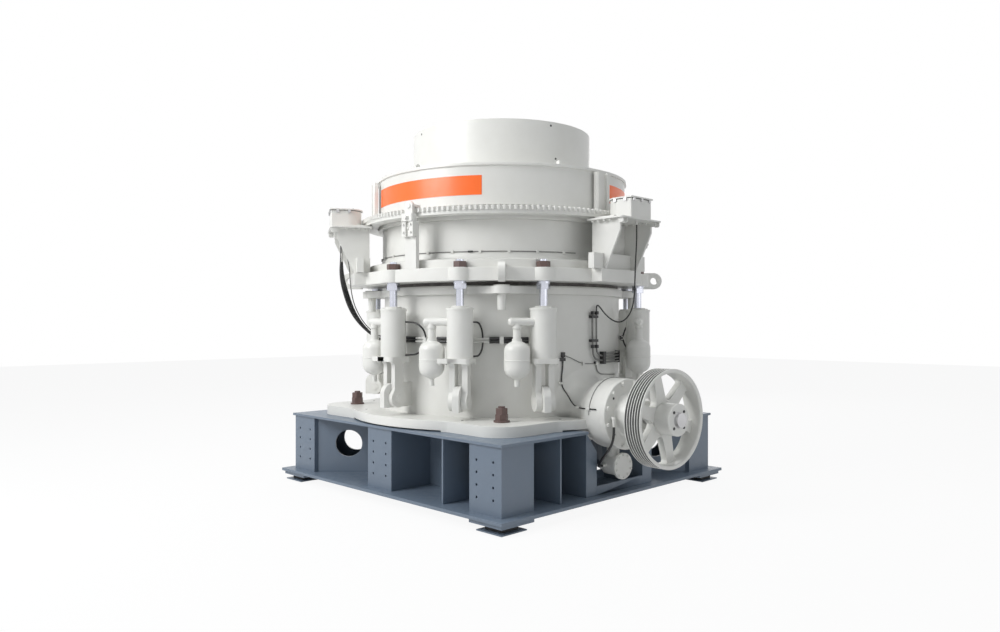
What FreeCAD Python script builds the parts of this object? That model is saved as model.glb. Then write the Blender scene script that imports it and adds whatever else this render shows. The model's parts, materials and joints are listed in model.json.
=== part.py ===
import FreeCAD, Part
import math
import os
from FreeCAD import Vector

# Cone crusher on its welded base: millimetres, +Z up, origin on the ground under the main axis.
# The drive side is +X. Angles are in degrees about the main axis, counted from +X.

# Base: a square of welded plate on four rubber feet
BASE_FLANGE_HALF = 1750.0
BASE_WEB_HALF = 1642.0
BASE_TOP_HALF = 1663.0
BASE_WEB = 25.0
FOOT_PLATE_SIDE = 305.0
FOOT_PLATE = 12.0
FOOT_AT = 1560.0
RUBBER_SIDE = 200.0
RUBBER = 46.0
DOUBLER = 35.0
DOUBLER_SIDE = 395.0
DOUBLER_INSET = 25.0
BOTTOM_PLATE = 30.0
WEB_HEIGHT = 591.0
TOP_PLATE = 25.0
BASE_HOLE_R = 1120.0
INNER_WALL_FLAT = 1130.0
INNER_WALL = 25.0
CORNER_PANEL = 395.0
CORNER_RETURN = 30.0
DIAGONAL_WEB_OFFSET = 232.0
DIAGONAL_HOLE_AT = 1674.0
DIAGONAL_HOLE_R = 145.0
MIDDLE_POST_LOW = -250.0
MIDDLE_POST_HIGH = 135.0
DRIVE_BAY_HALF = 370.0
DRIVE_POST = 160.0
DRIVE_SLOPE_OUT = 145.0
DRIVE_SLOPE_DOWN = 183.0
DRIVE_BAY_BEAM = 87.0
PANEL_HOLE_R = 12.0
PANEL_HOLE_ROWS = (137.0, 244.0, 352.0, 457.0)
PANEL_HOLE_EDGE = 90.0
PANEL_HOLE_SPACING = 205.0

# Main frame: foot, barrel, top ring, hub and arms
FOOT_THICK = 101.0
FOOT_HALF = 1470.0
FOOT_CORNER_R = 290.0
FOOT_ROUND_R = 1655.0
FOOT_RELIEF = 14.0
FOOT_RELIEF_HALF = 700.0
BARREL_R = 1303.0
BARREL_WALL = 100.0
BARREL_HEIGHT = 1190.0
TOP_RING_R = 1330.0
TOP_RING = 80.0
BOSS_AT = 1460.0
BOSS_R = 78.0
BOSS_ANGLES = (45.0, 135.0, 225.0, 315.0)
FRAME_PIN_TOP_R = 45.0
FRAME_PIN_FOOT_R = 39.5
FRAME_PIN_LENGTH = 156.0
SEAT_R = 1290.0
SEAT_HEIGHT = 35.0
ANCHOR_AT = 1150.0
ANCHOR_WASHER_R = 75.0
ANCHOR_WASHER = 16.0
ANCHOR_NUT_FLAT = 106.0
ANCHOR_NUT = 56.0
ANCHOR_STUD_R = 32.0
ANCHOR_STUD_TIP = 18.0
HUB_R = 430.0
HUB_FOOT = 60.0
HUB_HEIGHT = 800.0
ARM_WIDTH = 150.0
ARM_HEIGHT = 420.0
ARM_ANGLES = (85.0, 175.0, 265.0)
SOCKET_R = 380.0
SOCKET_HEIGHT = 90.0

# Countershaft, its housing and the belt wheel, on one axis that points away from the crusher
SHAFT_TURN = -5.0
SHAFT_Z = 889.0
SHAFT_R = 70.0
SHAFT_INNER_END = 520.0
TUNNEL_R = 285.0
TUNNEL_FLARE_R = 375.0
TUNNEL_END = 1740.0
TUNNEL_BORE_R = 205.0
HOUSING_FLANGE_R = 308.0
HOUSING_FLANGE = 55.0
HOUSING_NOSE_R = 170.0
HOUSING_NOSE = 230.0
FIT_GAP = 0.05
SOFT_GAP = 0.3
SHEAVE_FACE_AT = 2376.0
SHEAVE_R = 450.0
SHEAVE_GROOVES = 6
GROOVE_PITCH = 28.6
GROOVE_DEPTH = 21.0
GROOVE_MOUTH = 22.0
GROOVE_FLOOR = 9.0
RIM_INNER_R = 402.0
SPOKES = 6
SPOKE_ROOT = 120.0
SPOKE_TIP = 84.0
SPOKE_THICK = 46.0
SPOKE_SETBACK = 62.0
SHEAVE_HUB_R = 128.0
SHEAVE_HUB_OUT = 70.0
SHAFT_OUT = 105.0
SHAFT_TIP_R = 66.0
CANISTER_AT = 1600.0
CANISTER_Z = 391.0
CANISTER_R = 98.0
CANISTER_LENGTH = 175.0
CANISTER_COVER_R = 125.0
CANISTER_COVER = 25.0
CANISTER_NECK_R = 60.0

# Tramp release: cylinders on clevises round the barrel, with their accumulators
CYLINDER_ANGLES = (-90.0, -60.0, -30.0, 30.0, 60.0, 90.0, 150.0, 180.0, 210.0)
CYLINDER_AT = 1515.0
CYLINDER_R = 108.0
CYLINDER_FOOT_Z = 1372.0
CYLINDER_FOOT = 45.0
CYLINDER_FOOT_R = 122.0
CYLINDER_HEIGHT = 538.0
CYLINDER_CAP = 34.0
CYLINDER_CAP_R = 119.0
CYLINDER_BORE = 420.0
CLEVIS_PIN_Z = 1010.0
CLEVIS_PIN_R = 33.0
CLEVIS_EYE_R = 86.0
FORK_PLATE = 30.0
LUG_THICK = 64.0
LUG_R = 88.0
LUG_OUT = 1600.0
ROD_R = 38.0
ROD_FOOT_Z = 1560.0
ROD_TOP = 80.0
ROD_NUT_FLAT = 115.0
ROD_NUT = 60.0
LOCK_NUT_FLAT = 113.0
LOCK_NUT = 50.0
LOCK_WASHER_R = 62.0
ACCUMULATOR_OFFSET = 290.0
ACCUMULATOR_AT = 1500.0
ACCUMULATOR_R = 121.0
ACCUMULATOR_LOW_Z = 1225.0
ACCUMULATOR_HIGH_Z = 1580.0
ACCUMULATOR_SEAM = 6.0
ACCUMULATOR_NECK_R = 45.0
ACCUMULATOR_NECK = 95.0
ACCUMULATOR_NOZZLE_R = 26.0
ACCUMULATOR_NOZZLE = 65.0
MANIFOLD_Z = 1761.0
MANIFOLD_R = 28.0
MANIFOLD_FLANGE_R = 55.0

# Adjustment ring, clamp ring and what stands on them
RING_FLANGE_R = 1570.0
RING_FLANGE = 125.0
RING_LOBE_R = 112.0
RING_HUB_R = 1470.0
RING_HUB = 83.0
RING_FILLET = 77.0
RING_BARREL_R = 1324.0
RING_BARREL_TOP = 2745.0
CLAMP_R = 1370.0
CLAMP_HEIGHT = 45.0
BEARING_STRIP = 5.0
BEARING_STRIP_R = 1330.0
BEARING_STRIP_WIDTH = 40.0
LIFT_EYE_AT = 1705.0
LIFT_EYE_Z = 2220.0
LIFT_EYE_R = 90.0
LIFT_HOLE_R = 38.0
LIFT_THICK = 68.0
RING_PAD_OUT = 1660.0
RING_PAD_HALF = 320.0
ROD_SEAT_R = 74.0

# Drive ring, guides and drive boxes
GEAR_R = 1552.0
GEAR_INNER_R = 1260.0
GEAR_STEP_R = 1380.0
GEAR_LOW_Z = 2778.0
GEAR_HEIGHT = 73.0
GEAR_TEETH = 180
TOOTH_DEPTH = 26.0
TOOTH_HEIGHT = 41.0
GUIDE_ANGLES = (0.0, 120.0, 240.0)
GUIDE_INNER_R = 1391.0
GUIDE_THICK = 53.0
GUIDE_WIDTH = 200.0
GUIDE_BAR = 55.0
GUIDE_HEIGHT = 395.0
BOX_INNER = 1600.0
BOX_OUTER = 1885.0
BOX_HALF = 195.0
BOX_HEIGHT = 180.0
BOX_LID = 14.0
BOX_LID_OVER = 16.0
TRAY_INNER = 1480.0
TRAY_OUTER = 1905.0
TRAY_HALF = 310.0
TRAY = 15.0
TRAY_TOP_Z = 2750.0
BRACKET_PLATE = 22.0
BRACKET_AT = 250.0
BRACKET_INNER = 1500.0
BRACKET_OUTER = 1832.0
BRACKET_FOOT = 1655.0
LOCK_ANGLES = (-79.0, 41.0, 161.0)
LOCK_WIDTH = 120.0
LOCK_FOOT_INNER = 1490.0
LOCK_FOOT_OUTER = 1565.0
LOCK_PLATE_GAP = 8.0
LOCK_PLATE = 34.0
LOCK_TOP_Z = 2950.0
LOCK_PIN_R = 20.0

# Bowl, cap, hopper, liner, mantle and head
BOWL_R = 1160.0
BOWL_LOW_Z = 2100.0
BOWL_TIP_R = 1105.0
BOWL_TIP = 70.0
BOWL_FLANGE_LOW_Z = 2895.0
BOWL_FLANGE = 60.0
BOWL_MOUTH_R = 790.0
BOWL_SKIRT_R = 1066.0
LINER_THICK = 62.0
LINER_DROP = 60.0
CAP_R = 1366.0
CAP_WALL = 25.0
CAP_LIP_R = 1384.0
CAP_LIP = 30.0
CAP_LOW_Z = 2880.0
CAP_HEIGHT = 405.0
BANNER = 3.0
BANNER_LOW_Z = 2975.0
BANNER_HEIGHT = 186.0
BANNER_FROM = 5.0
BANNER_TO = 67.0
HOPPER_R = 985.0
HOPPER_WALL = 22.0
HOPPER_TOP_Z = 3800.0
MANTLE_SKIRT_R = 965.0
MANTLE_SKIRT_Z = 1990.0
MANTLE_SKIRT = 60.0
MANTLE_TOP_R = 330.0
MANTLE_TOP_Z = 2800.0
MANTLE_THICK = 75.0
HEAD_NECK_R = 240.0
FEED_PLATE_R = 340.0
FEED_PLATE = 55.0

# Levels that follow from the sizes above
Z_RUBBER = FOOT_PLATE
Z_DOUBLER = Z_RUBBER + RUBBER
Z_BOTTOM = Z_DOUBLER + DOUBLER
Z_WEB = Z_BOTTOM + BOTTOM_PLATE
Z_TOP = Z_WEB + WEB_HEIGHT
Z_FRAME = Z_TOP + TOP_PLATE
Z_BARREL = Z_FRAME + FOOT_THICK
Z_TOP_RING = Z_BARREL + BARREL_HEIGHT
Z_SEAT = Z_TOP_RING + TOP_RING
Z_RING = Z_SEAT + SEAT_HEIGHT
Z_RING_HUB = Z_RING + RING_FLANGE
Z_RING_STEP = Z_RING_HUB + RING_HUB
Z_CLAMP = RING_BARREL_TOP
Z_CLAMP_TOP = Z_CLAMP + CLAMP_HEIGHT
Z_GEAR_TOP = GEAR_LOW_Z + GEAR_HEIGHT
Z_BOWL_TOP = BOWL_FLANGE_LOW_Z + BOWL_FLANGE
Z_CAP_TOP = CAP_LOW_Z + CAP_HEIGHT
Z_HUB = Z_FRAME + HUB_FOOT
Z_SOCKET = Z_HUB + HUB_HEIGHT
Z_HEAD = Z_SOCKET + SOCKET_HEIGHT
BARREL_INNER_R = BARREL_R - BARREL_WALL
SHEAVE_WIDTH = SHEAVE_GROOVES * GROOVE_PITCH + 9.0
SHEAVE_BACK_AT = SHEAVE_FACE_AT - SHEAVE_WIDTH
UP = Vector(0, 0, 1)
ALONG_X = Vector(1, 0, 0)
ALONG_Y = Vector(0, 1, 0)
ORIGIN = Vector(0, 0, 0)


def box(x0, x1, y0, y1, z0, z1):
    return Part.makeBox(x1 - x0, y1 - y0, z1 - z0, Vector(x0, y0, z0))


def rod(radius, length, start, direction=UP):
    return Part.makeCylinder(radius, length, start, direction)


def ring(outer, inner, z0, z1):
    return rod(outer, z1 - z0, Vector(0, 0, z0)).cut(rod(inner, z1 - z0, Vector(0, 0, z0)))


def prism(points, vector):
    wire = Part.makePolygon([Vector(*p) for p in points] + [Vector(*points[0])])
    return Part.Face(wire).extrude(vector)


def turned(points):
    """Solid of revolution about the main axis from (radius, z) corners."""
    wire = Part.makePolygon([Vector(r, 0, z) for r, z in points + points[:1]])
    return Part.Face(wire).revolve(ORIGIN, UP, 360)


def about_x(points):
    """Solid of revolution about the X axis from (distance along X, radius) corners."""
    wire = Part.makePolygon([Vector(x, 0, r) for x, r in points + points[:1]])
    return Part.Face(wire).revolve(ORIGIN, ALONG_X, 360)


def hexagon(flat, height, x, y, z, turn=0.0):
    reach = flat / math.sqrt(3.0)
    corners = []
    for k in range(6):
        a = math.radians(60 * k + turn)
        corners.append((x + reach * math.cos(a), y + reach * math.sin(a), z))
    return prism(corners, Vector(0, 0, height))


def spun(shape, angle):
    copy = shape.copy()
    copy.rotate(ORIGIN, UP, angle)
    return copy


def round_about(shape, angles):
    return [spun(shape, a) for a in angles]


def joined(shapes):
    whole = shapes[0]
    for shape in shapes[1:]:
        whole = whole.fuse(shape)
    return whole.removeSplitter()


def on_shaft(shape):
    """Place a shape modelled along X on the countershaft axis."""
    copy = shape.copy()
    copy.translate(Vector(0, 0, SHAFT_Z))
    copy.rotate(ORIGIN, UP, SHAFT_TURN)
    return copy


def mirrored(shape):
    """Copies in all four corners of the base."""
    return round_about(shape, (0, 90, 180, 270))


def panel_holes(x0, y_face):
    """Bolt holes through a side panel whose outer face is at -y_face, two columns from x0."""
    holes = []
    for column in (0.0, PANEL_HOLE_SPACING):
        for row in PANEL_HOLE_ROWS:
            start = Vector(x0 + column, -y_face - 5, Z_WEB + row)
            holes.append(rod(PANEL_HOLE_R, BASE_WEB + 10, start, ALONG_Y))
    return Part.makeCompound(holes)


def foot_plates():
    h = FOOT_PLATE_SIDE / 2
    return mirrored(box(FOOT_AT - h, FOOT_AT + h, FOOT_AT - h, FOOT_AT + h, 0, FOOT_PLATE))


def rubber_pads():
    h = RUBBER_SIDE / 2
    return mirrored(box(FOOT_AT - h, FOOT_AT + h, FOOT_AT - h, FOOT_AT + h, Z_RUBBER, Z_DOUBLER))


def base_bottom_plate():
    plate = box(-BASE_FLANGE_HALF, BASE_FLANGE_HALF, -BASE_FLANGE_HALF, BASE_FLANGE_HALF, Z_BOTTOM, Z_WEB)
    plate = plate.cut(rod(BASE_HOLE_R, BOTTOM_PLATE, Vector(0, 0, Z_BOTTOM)))
    high = BASE_FLANGE_HALF - DOUBLER_INSET
    low = high - DOUBLER_SIDE
    return [joined([plate] + mirrored(box(low, high, low, high, Z_DOUBLER, Z_BOTTOM)))]


def base_corner_posts():
    """Each corner has two drilled side panels with a short return at the open bay."""
    panel_end = BASE_WEB_HALF - CORNER_PANEL
    inside = BASE_WEB_HALF - BASE_WEB
    front = box(panel_end, BASE_WEB_HALF, -BASE_WEB_HALF, -inside, Z_WEB, Z_TOP)
    front = front.cut(panel_holes(panel_end + PANEL_HOLE_EDGE, BASE_WEB_HALF))
    side = box(panel_end, inside, -BASE_WEB_HALF, -inside, Z_WEB, Z_TOP)
    side = side.cut(panel_holes(panel_end + PANEL_HOLE_EDGE, BASE_WEB_HALF))
    side = side.mirror(ORIGIN, ALONG_Y)
    side.rotate(ORIGIN, UP, -90)
    back = box(panel_end, panel_end + BASE_WEB, -inside, -inside + CORNER_RETURN, Z_WEB, Z_TOP)
    back_side = box(inside - CORNER_RETURN, inside, -panel_end - BASE_WEB, -panel_end, Z_WEB, Z_TOP)
    return mirrored(joined([front, side, back, back_side]))


def base_diagonal_webs():
    """Two parallel webs carry each corner of the crusher's foot, with a round hole through both."""
    webs = []
    reach = BASE_WEB_HALF * math.sqrt(2.0)
    inside = BASE_WEB_HALF - BASE_WEB
    room = box(0, inside, 0, inside, Z_WEB, Z_TOP)
    flat = INNER_WALL_FLAT
    for side in (-1, 1):
        y0 = side * DIAGONAL_WEB_OFFSET - BASE_WEB / 2
        web = box(flat, reach, y0, y0 + BASE_WEB, Z_WEB, Z_TOP)
        hole_z = Z_WEB + WEB_HEIGHT / 2 + 15
        web = web.cut(rod(DIAGONAL_HOLE_R, BASE_WEB, Vector(DIAGONAL_HOLE_AT, y0, hole_z), ALONG_Y))
        web = spun(web, 45).common(room)
        webs.append(web)
    corner = base_corner_posts()[0]
    corner = spun(corner, 90)
    webs = [w.cut(corner) for w in webs]
    whole = []
    for web in webs:
        whole += mirrored(web)
    return whole


def base_middle_posts():
    """A drilled panel with two return webs in the middle of the three sides without the drive."""
    inside = BASE_WEB_HALF - BASE_WEB
    panel = box(MIDDLE_POST_LOW, MIDDLE_POST_HIGH, -BASE_WEB_HALF, -inside, Z_WEB, Z_TOP)
    panel = panel.cut(panel_holes(MIDDLE_POST_LOW + PANEL_HOLE_EDGE, BASE_WEB_HALF))
    near = -INNER_WALL_FLAT - INNER_WALL
    left = box(MIDDLE_POST_LOW, MIDDLE_POST_LOW + BASE_WEB, -inside, near, Z_WEB, Z_TOP)
    right = box(MIDDLE_POST_HIGH - BASE_WEB, MIDDLE_POST_HIGH, -inside, near, Z_WEB, Z_TOP)
    post = joined([panel, left, right])
    rear = post.mirror(ORIGIN, ALONG_Y)
    return [post, rear, spun(post, -90)]


def base_inner_wall():
    """Eight-sided wall under the crusher, open towards the drive."""
    def octagon(flat):
        reach = flat / math.cos(math.radians(22.5))
        corners = []
        for k in range(8):
            a = math.radians(45 * k + 22.5)
            corners.append((reach * math.cos(a), reach * math.sin(a), Z_WEB))
        return prism(corners, Vector(0, 0, WEB_HEIGHT))
    wall = octagon(INNER_WALL_FLAT + INNER_WALL).cut(octagon(INNER_WALL_FLAT))
    gap = box(0, BASE_WEB_HALF, -DRIVE_BAY_HALF, DRIVE_BAY_HALF, Z_WEB + DRIVE_BAY_BEAM, Z_TOP)
    wall = wall.cut(gap)
    for web in base_diagonal_webs():
        wall = wall.cut(web)
    return [wall]


def base_drive_posts():
    """Posts beside the drive bay, their inner top corners cut back, and a low beam between them."""
    low = DRIVE_BAY_HALF
    high = DRIVE_BAY_HALF + DRIVE_POST
    inside = INNER_WALL_FLAT + INNER_WALL
    slope = [(inside, low, Z_TOP), (inside, low + DRIVE_SLOPE_OUT, Z_TOP),
             (inside, low, Z_TOP - DRIVE_SLOPE_DOWN)]
    post = box(inside, BASE_WEB_HALF, low, high, Z_WEB, Z_TOP)
    hollow = box(inside, BASE_WEB_HALF - BASE_WEB, low + BASE_WEB, high - BASE_WEB, Z_WEB, Z_TOP)
    post = post.cut(hollow).cut(prism(slope, Vector(BASE_WEB_HALF, 0, 0)))
    posts = [post, post.mirror(ORIGIN, ALONG_Y)]
    beam = box(BASE_WEB_HALF - BASE_WEB, BASE_WEB_HALF, -low, low, Z_WEB, Z_WEB + DRIVE_BAY_BEAM)
    return posts + [beam]


def base_top_plate():
    half = BASE_TOP_HALF
    plate = box(-half, half, -half, half, Z_TOP, Z_FRAME)
    plate = plate.cut(rod(BASE_HOLE_R, TOP_PLATE, Vector(0, 0, Z_TOP)))
    notch = DRIVE_BAY_HALF + DRIVE_SLOPE_OUT
    return [plate.cut(box(0, half, -notch, notch, Z_TOP, Z_FRAME))]


def main_frame_foot():
    """Rounded square with a round belly, relieved underneath between its corners."""
    square = box(-FOOT_HALF, FOOT_HALF, -FOOT_HALF, FOOT_HALF, Z_FRAME, Z_BARREL)
    edges = [e for e in square.Edges if e.BoundBox.ZLength > FOOT_THICK / 2]
    square = square.makeFillet(FOOT_CORNER_R, edges)
    foot = square.fuse(rod(FOOT_ROUND_R, FOOT_THICK, Vector(0, 0, Z_FRAME)))
    foot = foot.cut(rod(BARREL_INNER_R, FOOT_THICK, Vector(0, 0, Z_FRAME)))
    relief = box(-FOOT_RELIEF_HALF, FOOT_RELIEF_HALF, -FOOT_ROUND_R, -FOOT_HALF + 60,
                 Z_FRAME, Z_FRAME + FOOT_RELIEF)
    for cut in mirrored(relief):
        foot = foot.cut(cut)
    return [foot.cut(tunnel_outside())]


def tunnel_outside():
    """Outer form of the casting round the countershaft, without its bore."""
    shape = about_x([(HUB_R * 0.9, 0), (HUB_R * 0.9, TUNNEL_R), (BARREL_R - 120, TUNNEL_R),
                     (BARREL_R, TUNNEL_FLARE_R), (BARREL_R + 90, TUNNEL_R + 30),
                     (TUNNEL_END, TUNNEL_R), (TUNNEL_END, 0)])
    return on_shaft(shape)


def main_frame_barrel():
    barrel = ring(BARREL_R, BARREL_INNER_R, Z_BARREL, Z_TOP_RING)
    top = rod(TOP_RING_R, TOP_RING, Vector(0, 0, Z_TOP_RING))
    for a in BOSS_ANGLES:
        boss = box(BARREL_R - 60, BOSS_AT, -BOSS_R, BOSS_R, Z_TOP_RING, Z_SEAT)
        boss = boss.fuse(rod(BOSS_R, TOP_RING, Vector(BOSS_AT, 0, Z_TOP_RING)))
        top = top.fuse(spun(boss, a))
    top = top.cut(rod(BARREL_INNER_R, TOP_RING, Vector(0, 0, Z_TOP_RING)))
    return [barrel.fuse(top).removeSplitter().cut(tunnel_outside())]


def seat_ring():
    return [ring(SEAT_R, BARREL_INNER_R, Z_SEAT, Z_RING)]


def hub_and_arms():
    hub = rod(HUB_R, HUB_HEIGHT, Vector(0, 0, Z_HUB))
    arms = []
    for a in ARM_ANGLES:
        arm = box(0, BARREL_INNER_R + 20, -ARM_WIDTH / 2, ARM_WIDTH / 2, Z_BARREL + 40, Z_BARREL + 40 + ARM_HEIGHT)
        arms.append(spun(arm, a))
    whole = joined([hub] + arms).common(rod(BARREL_INNER_R, HUB_HEIGHT + 200, Vector(0, 0, Z_HUB)))
    return [whole.cut(tunnel_outside())]


def countershaft_tunnel():
    bore = on_shaft(rod(TUNNEL_BORE_R, TUNNEL_END, ORIGIN, ALONG_X))
    return [tunnel_outside().cut(bore)]


def countershaft_housing():
    """Sleeve in the tunnel with a bolted flange and a seal nose; the shaft runs in its bore."""
    flange_end = TUNNEL_END + HOUSING_FLANGE
    nose_end = flange_end + HOUSING_NOSE
    start = SHAFT_INNER_END + 40
    sleeve = about_x([(start, SHAFT_R + FIT_GAP), (start, TUNNEL_BORE_R - SOFT_GAP),
                      (TUNNEL_END, TUNNEL_BORE_R - SOFT_GAP), (TUNNEL_END, HOUSING_FLANGE_R),
                      (flange_end, HOUSING_FLANGE_R), (flange_end, HOUSING_NOSE_R + 25),
                      (nose_end - 60, HOUSING_NOSE_R), (nose_end, HOUSING_NOSE_R - 25),
                      (nose_end, SHAFT_R + FIT_GAP)])
    return [on_shaft(sleeve)]


def drain_canister():
    """Oil drain box under the countershaft: a round canister with a flanged cover and its neck."""
    body = rod(CANISTER_R, CANISTER_LENGTH, Vector(CANISTER_AT, 0, CANISTER_Z), ALONG_X)
    cover = rod(CANISTER_COVER_R, CANISTER_COVER,
                Vector(CANISTER_AT + CANISTER_LENGTH, 0, CANISTER_Z), ALONG_X)
    middle = CANISTER_AT + CANISTER_LENGTH / 2 - 20
    neck = rod(CANISTER_NECK_R, SHAFT_Z - CANISTER_Z, Vector(middle, 0, CANISTER_Z))
    whole = spun(joined([body, cover, neck]), SHAFT_TURN)
    return [whole.cut(tunnel_outside())]


def anchor_nuts():
    """Washer, nut, lock nut and stud end at each corner of the foot."""
    nuts = []
    for sx in (-1, 1):
        for sy in (-1, 1):
            x, y, z = sx * ANCHOR_AT, sy * ANCHOR_AT, Z_BARREL
            washer = rod(ANCHOR_WASHER_R, ANCHOR_WASHER, Vector(x, y, z))
            nut = hexagon(ANCHOR_NUT_FLAT, ANCHOR_NUT, x, y, z + ANCHOR_WASHER)
            second = hexagon(ANCHOR_NUT_FLAT, ANCHOR_NUT, x, y, z + ANCHOR_WASHER + ANCHOR_NUT, 17)
            height = ANCHOR_WASHER + 2 * ANCHOR_NUT + ANCHOR_STUD_TIP
            nuts.append(joined([washer, nut, second, rod(ANCHOR_STUD_R, height, Vector(x, y, z))]))
    return nuts


def frame_pins():
    z = Z_TOP_RING - FRAME_PIN_LENGTH
    pin = Part.makeCone(FRAME_PIN_FOOT_R, FRAME_PIN_TOP_R, FRAME_PIN_LENGTH, Vector(BOSS_AT, 0, z))
    return round_about(pin, BOSS_ANGLES)


def cylinder_lugs():
    """Upright lug on the foot for each cylinder, with its clevis pin, joined to the barrel."""
    half = LUG_THICK / 2
    body = box(BARREL_R - 10, CYLINDER_AT + LUG_R, -half, half, Z_BARREL, CLEVIS_PIN_Z)
    body = body.fuse(rod(LUG_R, LUG_THICK, Vector(CYLINDER_AT, -half, CLEVIS_PIN_Z), ALONG_Y))
    pin_half = half + FORK_PLATE + 12
    pin = rod(CLEVIS_PIN_R, 2 * pin_half, Vector(CYLINDER_AT, -pin_half, CLEVIS_PIN_Z), ALONG_Y)
    lug = joined([body, pin])
    lug = lug.cut(rod(BARREL_R, BARREL_HEIGHT, Vector(0, 0, Z_BARREL)))
    return round_about(lug, CYLINDER_ANGLES)


def release_cylinders():
    """Cylinder with end plate, cap and a two-plate fork that hangs on the lug's pin."""
    x, z = CYLINDER_AT, CYLINDER_FOOT_Z
    foot = rod(CYLINDER_FOOT_R, CYLINDER_FOOT, Vector(x, 0, z))
    body = rod(CYLINDER_R, CYLINDER_HEIGHT, Vector(x, 0, z))
    cap = rod(CYLINDER_CAP_R, CYLINDER_CAP, Vector(x, 0, z + CYLINDER_HEIGHT - CYLINDER_CAP))
    bore = rod(ROD_R + SOFT_GAP, CYLINDER_BORE, Vector(x, 0, z + CYLINDER_HEIGHT - CYLINDER_BORE))
    inner = LUG_THICK / 2 + 1
    parts = [foot, body, cap]
    for side in (-1, 1):
        y = inner if side > 0 else -inner - FORK_PLATE
        plate = box(x - 70, x + 70, y, y + FORK_PLATE, CLEVIS_PIN_Z, z)
        plate = plate.fuse(rod(CLEVIS_EYE_R, FORK_PLATE, Vector(x, y, CLEVIS_PIN_Z), ALONG_Y))
        parts.append(plate.cut(rod(CLEVIS_PIN_R + SOFT_GAP, FORK_PLATE, Vector(x, y, CLEVIS_PIN_Z), ALONG_Y)))
    parts.append(box(x - 70, x + 70, -inner - FORK_PLATE, inner + FORK_PLATE, z - 90, z))
    return round_about(joined(parts).cut(bore), CYLINDER_ANGLES)


def accumulators():
    x, y = ACCUMULATOR_AT, -ACCUMULATOR_OFFSET
    r = ACCUMULATOR_R
    low = rod(r, ACCUMULATOR_HIGH_Z - ACCUMULATOR_LOW_Z - 2 * r, Vector(x, y, ACCUMULATOR_LOW_Z + r))
    parts = [low, Part.makeSphere(r, Vector(x, y, ACCUMULATOR_LOW_Z + r)),
             Part.makeSphere(r, Vector(x, y, ACCUMULATOR_HIGH_Z - r))]
    middle = (ACCUMULATOR_LOW_Z + ACCUMULATOR_HIGH_Z) / 2
    parts.append(rod(r + ACCUMULATOR_SEAM, 30, Vector(x, y, middle - 15)))
    parts.append(rod(ACCUMULATOR_NECK_R, ACCUMULATOR_NECK + r, Vector(x, y, ACCUMULATOR_HIGH_Z - r)))
    parts.append(rod(ACCUMULATOR_NOZZLE_R, ACCUMULATOR_NOZZLE + r,
                     Vector(x, y, ACCUMULATOR_LOW_Z - ACCUMULATOR_NOZZLE)))
    return round_about(joined(parts), CYLINDER_ANGLES)


def manifold_pipes():
    """Pipe from each cylinder along to its accumulator, turned down into the neck."""
    x, y = ACCUMULATOR_AT, -ACCUMULATOR_OFFSET
    neck_z = ACCUMULATOR_HIGH_Z + ACCUMULATOR_NECK
    run = rod(MANIFOLD_R, ACCUMULATOR_OFFSET, Vector(x, y, MANIFOLD_Z), ALONG_Y)
    drop = rod(MANIFOLD_R, MANIFOLD_Z - neck_z, Vector(x, y, neck_z))
    bend = Part.makeSphere(MANIFOLD_R, Vector(x, y, MANIFOLD_Z))
    flange = rod(MANIFOLD_FLANGE_R, CYLINDER_R + 30, Vector(x, -CYLINDER_R - 30, MANIFOLD_Z), ALONG_Y)
    pipe = joined([run, drop, bend, flange])
    solid = rod(CYLINDER_R, CYLINDER_HEIGHT, Vector(CYLINDER_AT, 0, CYLINDER_FOOT_Z))
    return round_about(pipe.cut(solid), CYLINDER_ANGLES)


def ring_outline(z0, z1):
    """Adjustment ring flange: round, with a lobe at each cylinder and a pad at each drive box."""
    height = z1 - z0
    whole = [rod(RING_FLANGE_R, height, Vector(0, 0, z0))]
    for a in CYLINDER_ANGLES:
        whole.append(spun(rod(RING_LOBE_R, height, Vector(CYLINDER_AT, 0, z0)), a))
    for a in GUIDE_ANGLES:
        pad = box(BARREL_R, RING_PAD_OUT, -RING_PAD_HALF, RING_PAD_HALF, z0, z1)
        whole.append(spun(pad, a))
    return joined(whole)


def adjustment_ring():
    profile = [(BOWL_R + SOFT_GAP, Z_RING), (RING_HUB_R, Z_RING), (RING_HUB_R, Z_RING_STEP),
               (RING_BARREL_R + 25, Z_RING_STEP + 22), (RING_BARREL_R, Z_RING_STEP + RING_FILLET),
               (RING_BARREL_R, Z_CLAMP), (BOWL_R + SOFT_GAP, Z_CLAMP)]
    flange = ring_outline(Z_RING, Z_RING_HUB).cut(rod(BOWL_R + SOFT_GAP, RING_FLANGE, Vector(0, 0, Z_RING)))
    whole = flange.fuse(turned(profile)).removeSplitter()
    hole = rod(ROD_R + 4, RING_FLANGE, Vector(CYLINDER_AT, 0, Z_RING))
    hole = hole.fuse(rod(ROD_SEAT_R, RING_HUB + RING_FILLET, Vector(CYLINDER_AT, 0, Z_RING_HUB)))
    for cut in round_about(hole, CYLINDER_ANGLES):
        whole = whole.cut(cut)
    return [whole]


def clamp_ring():
    plate = ring(CLAMP_R, BOWL_R + SOFT_GAP, Z_CLAMP, Z_CLAMP_TOP)
    strip = ring(BEARING_STRIP_R, BEARING_STRIP_R - BEARING_STRIP_WIDTH, Z_CLAMP_TOP, Z_CLAMP_TOP + BEARING_STRIP)
    return [plate.fuse(strip)]


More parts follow.
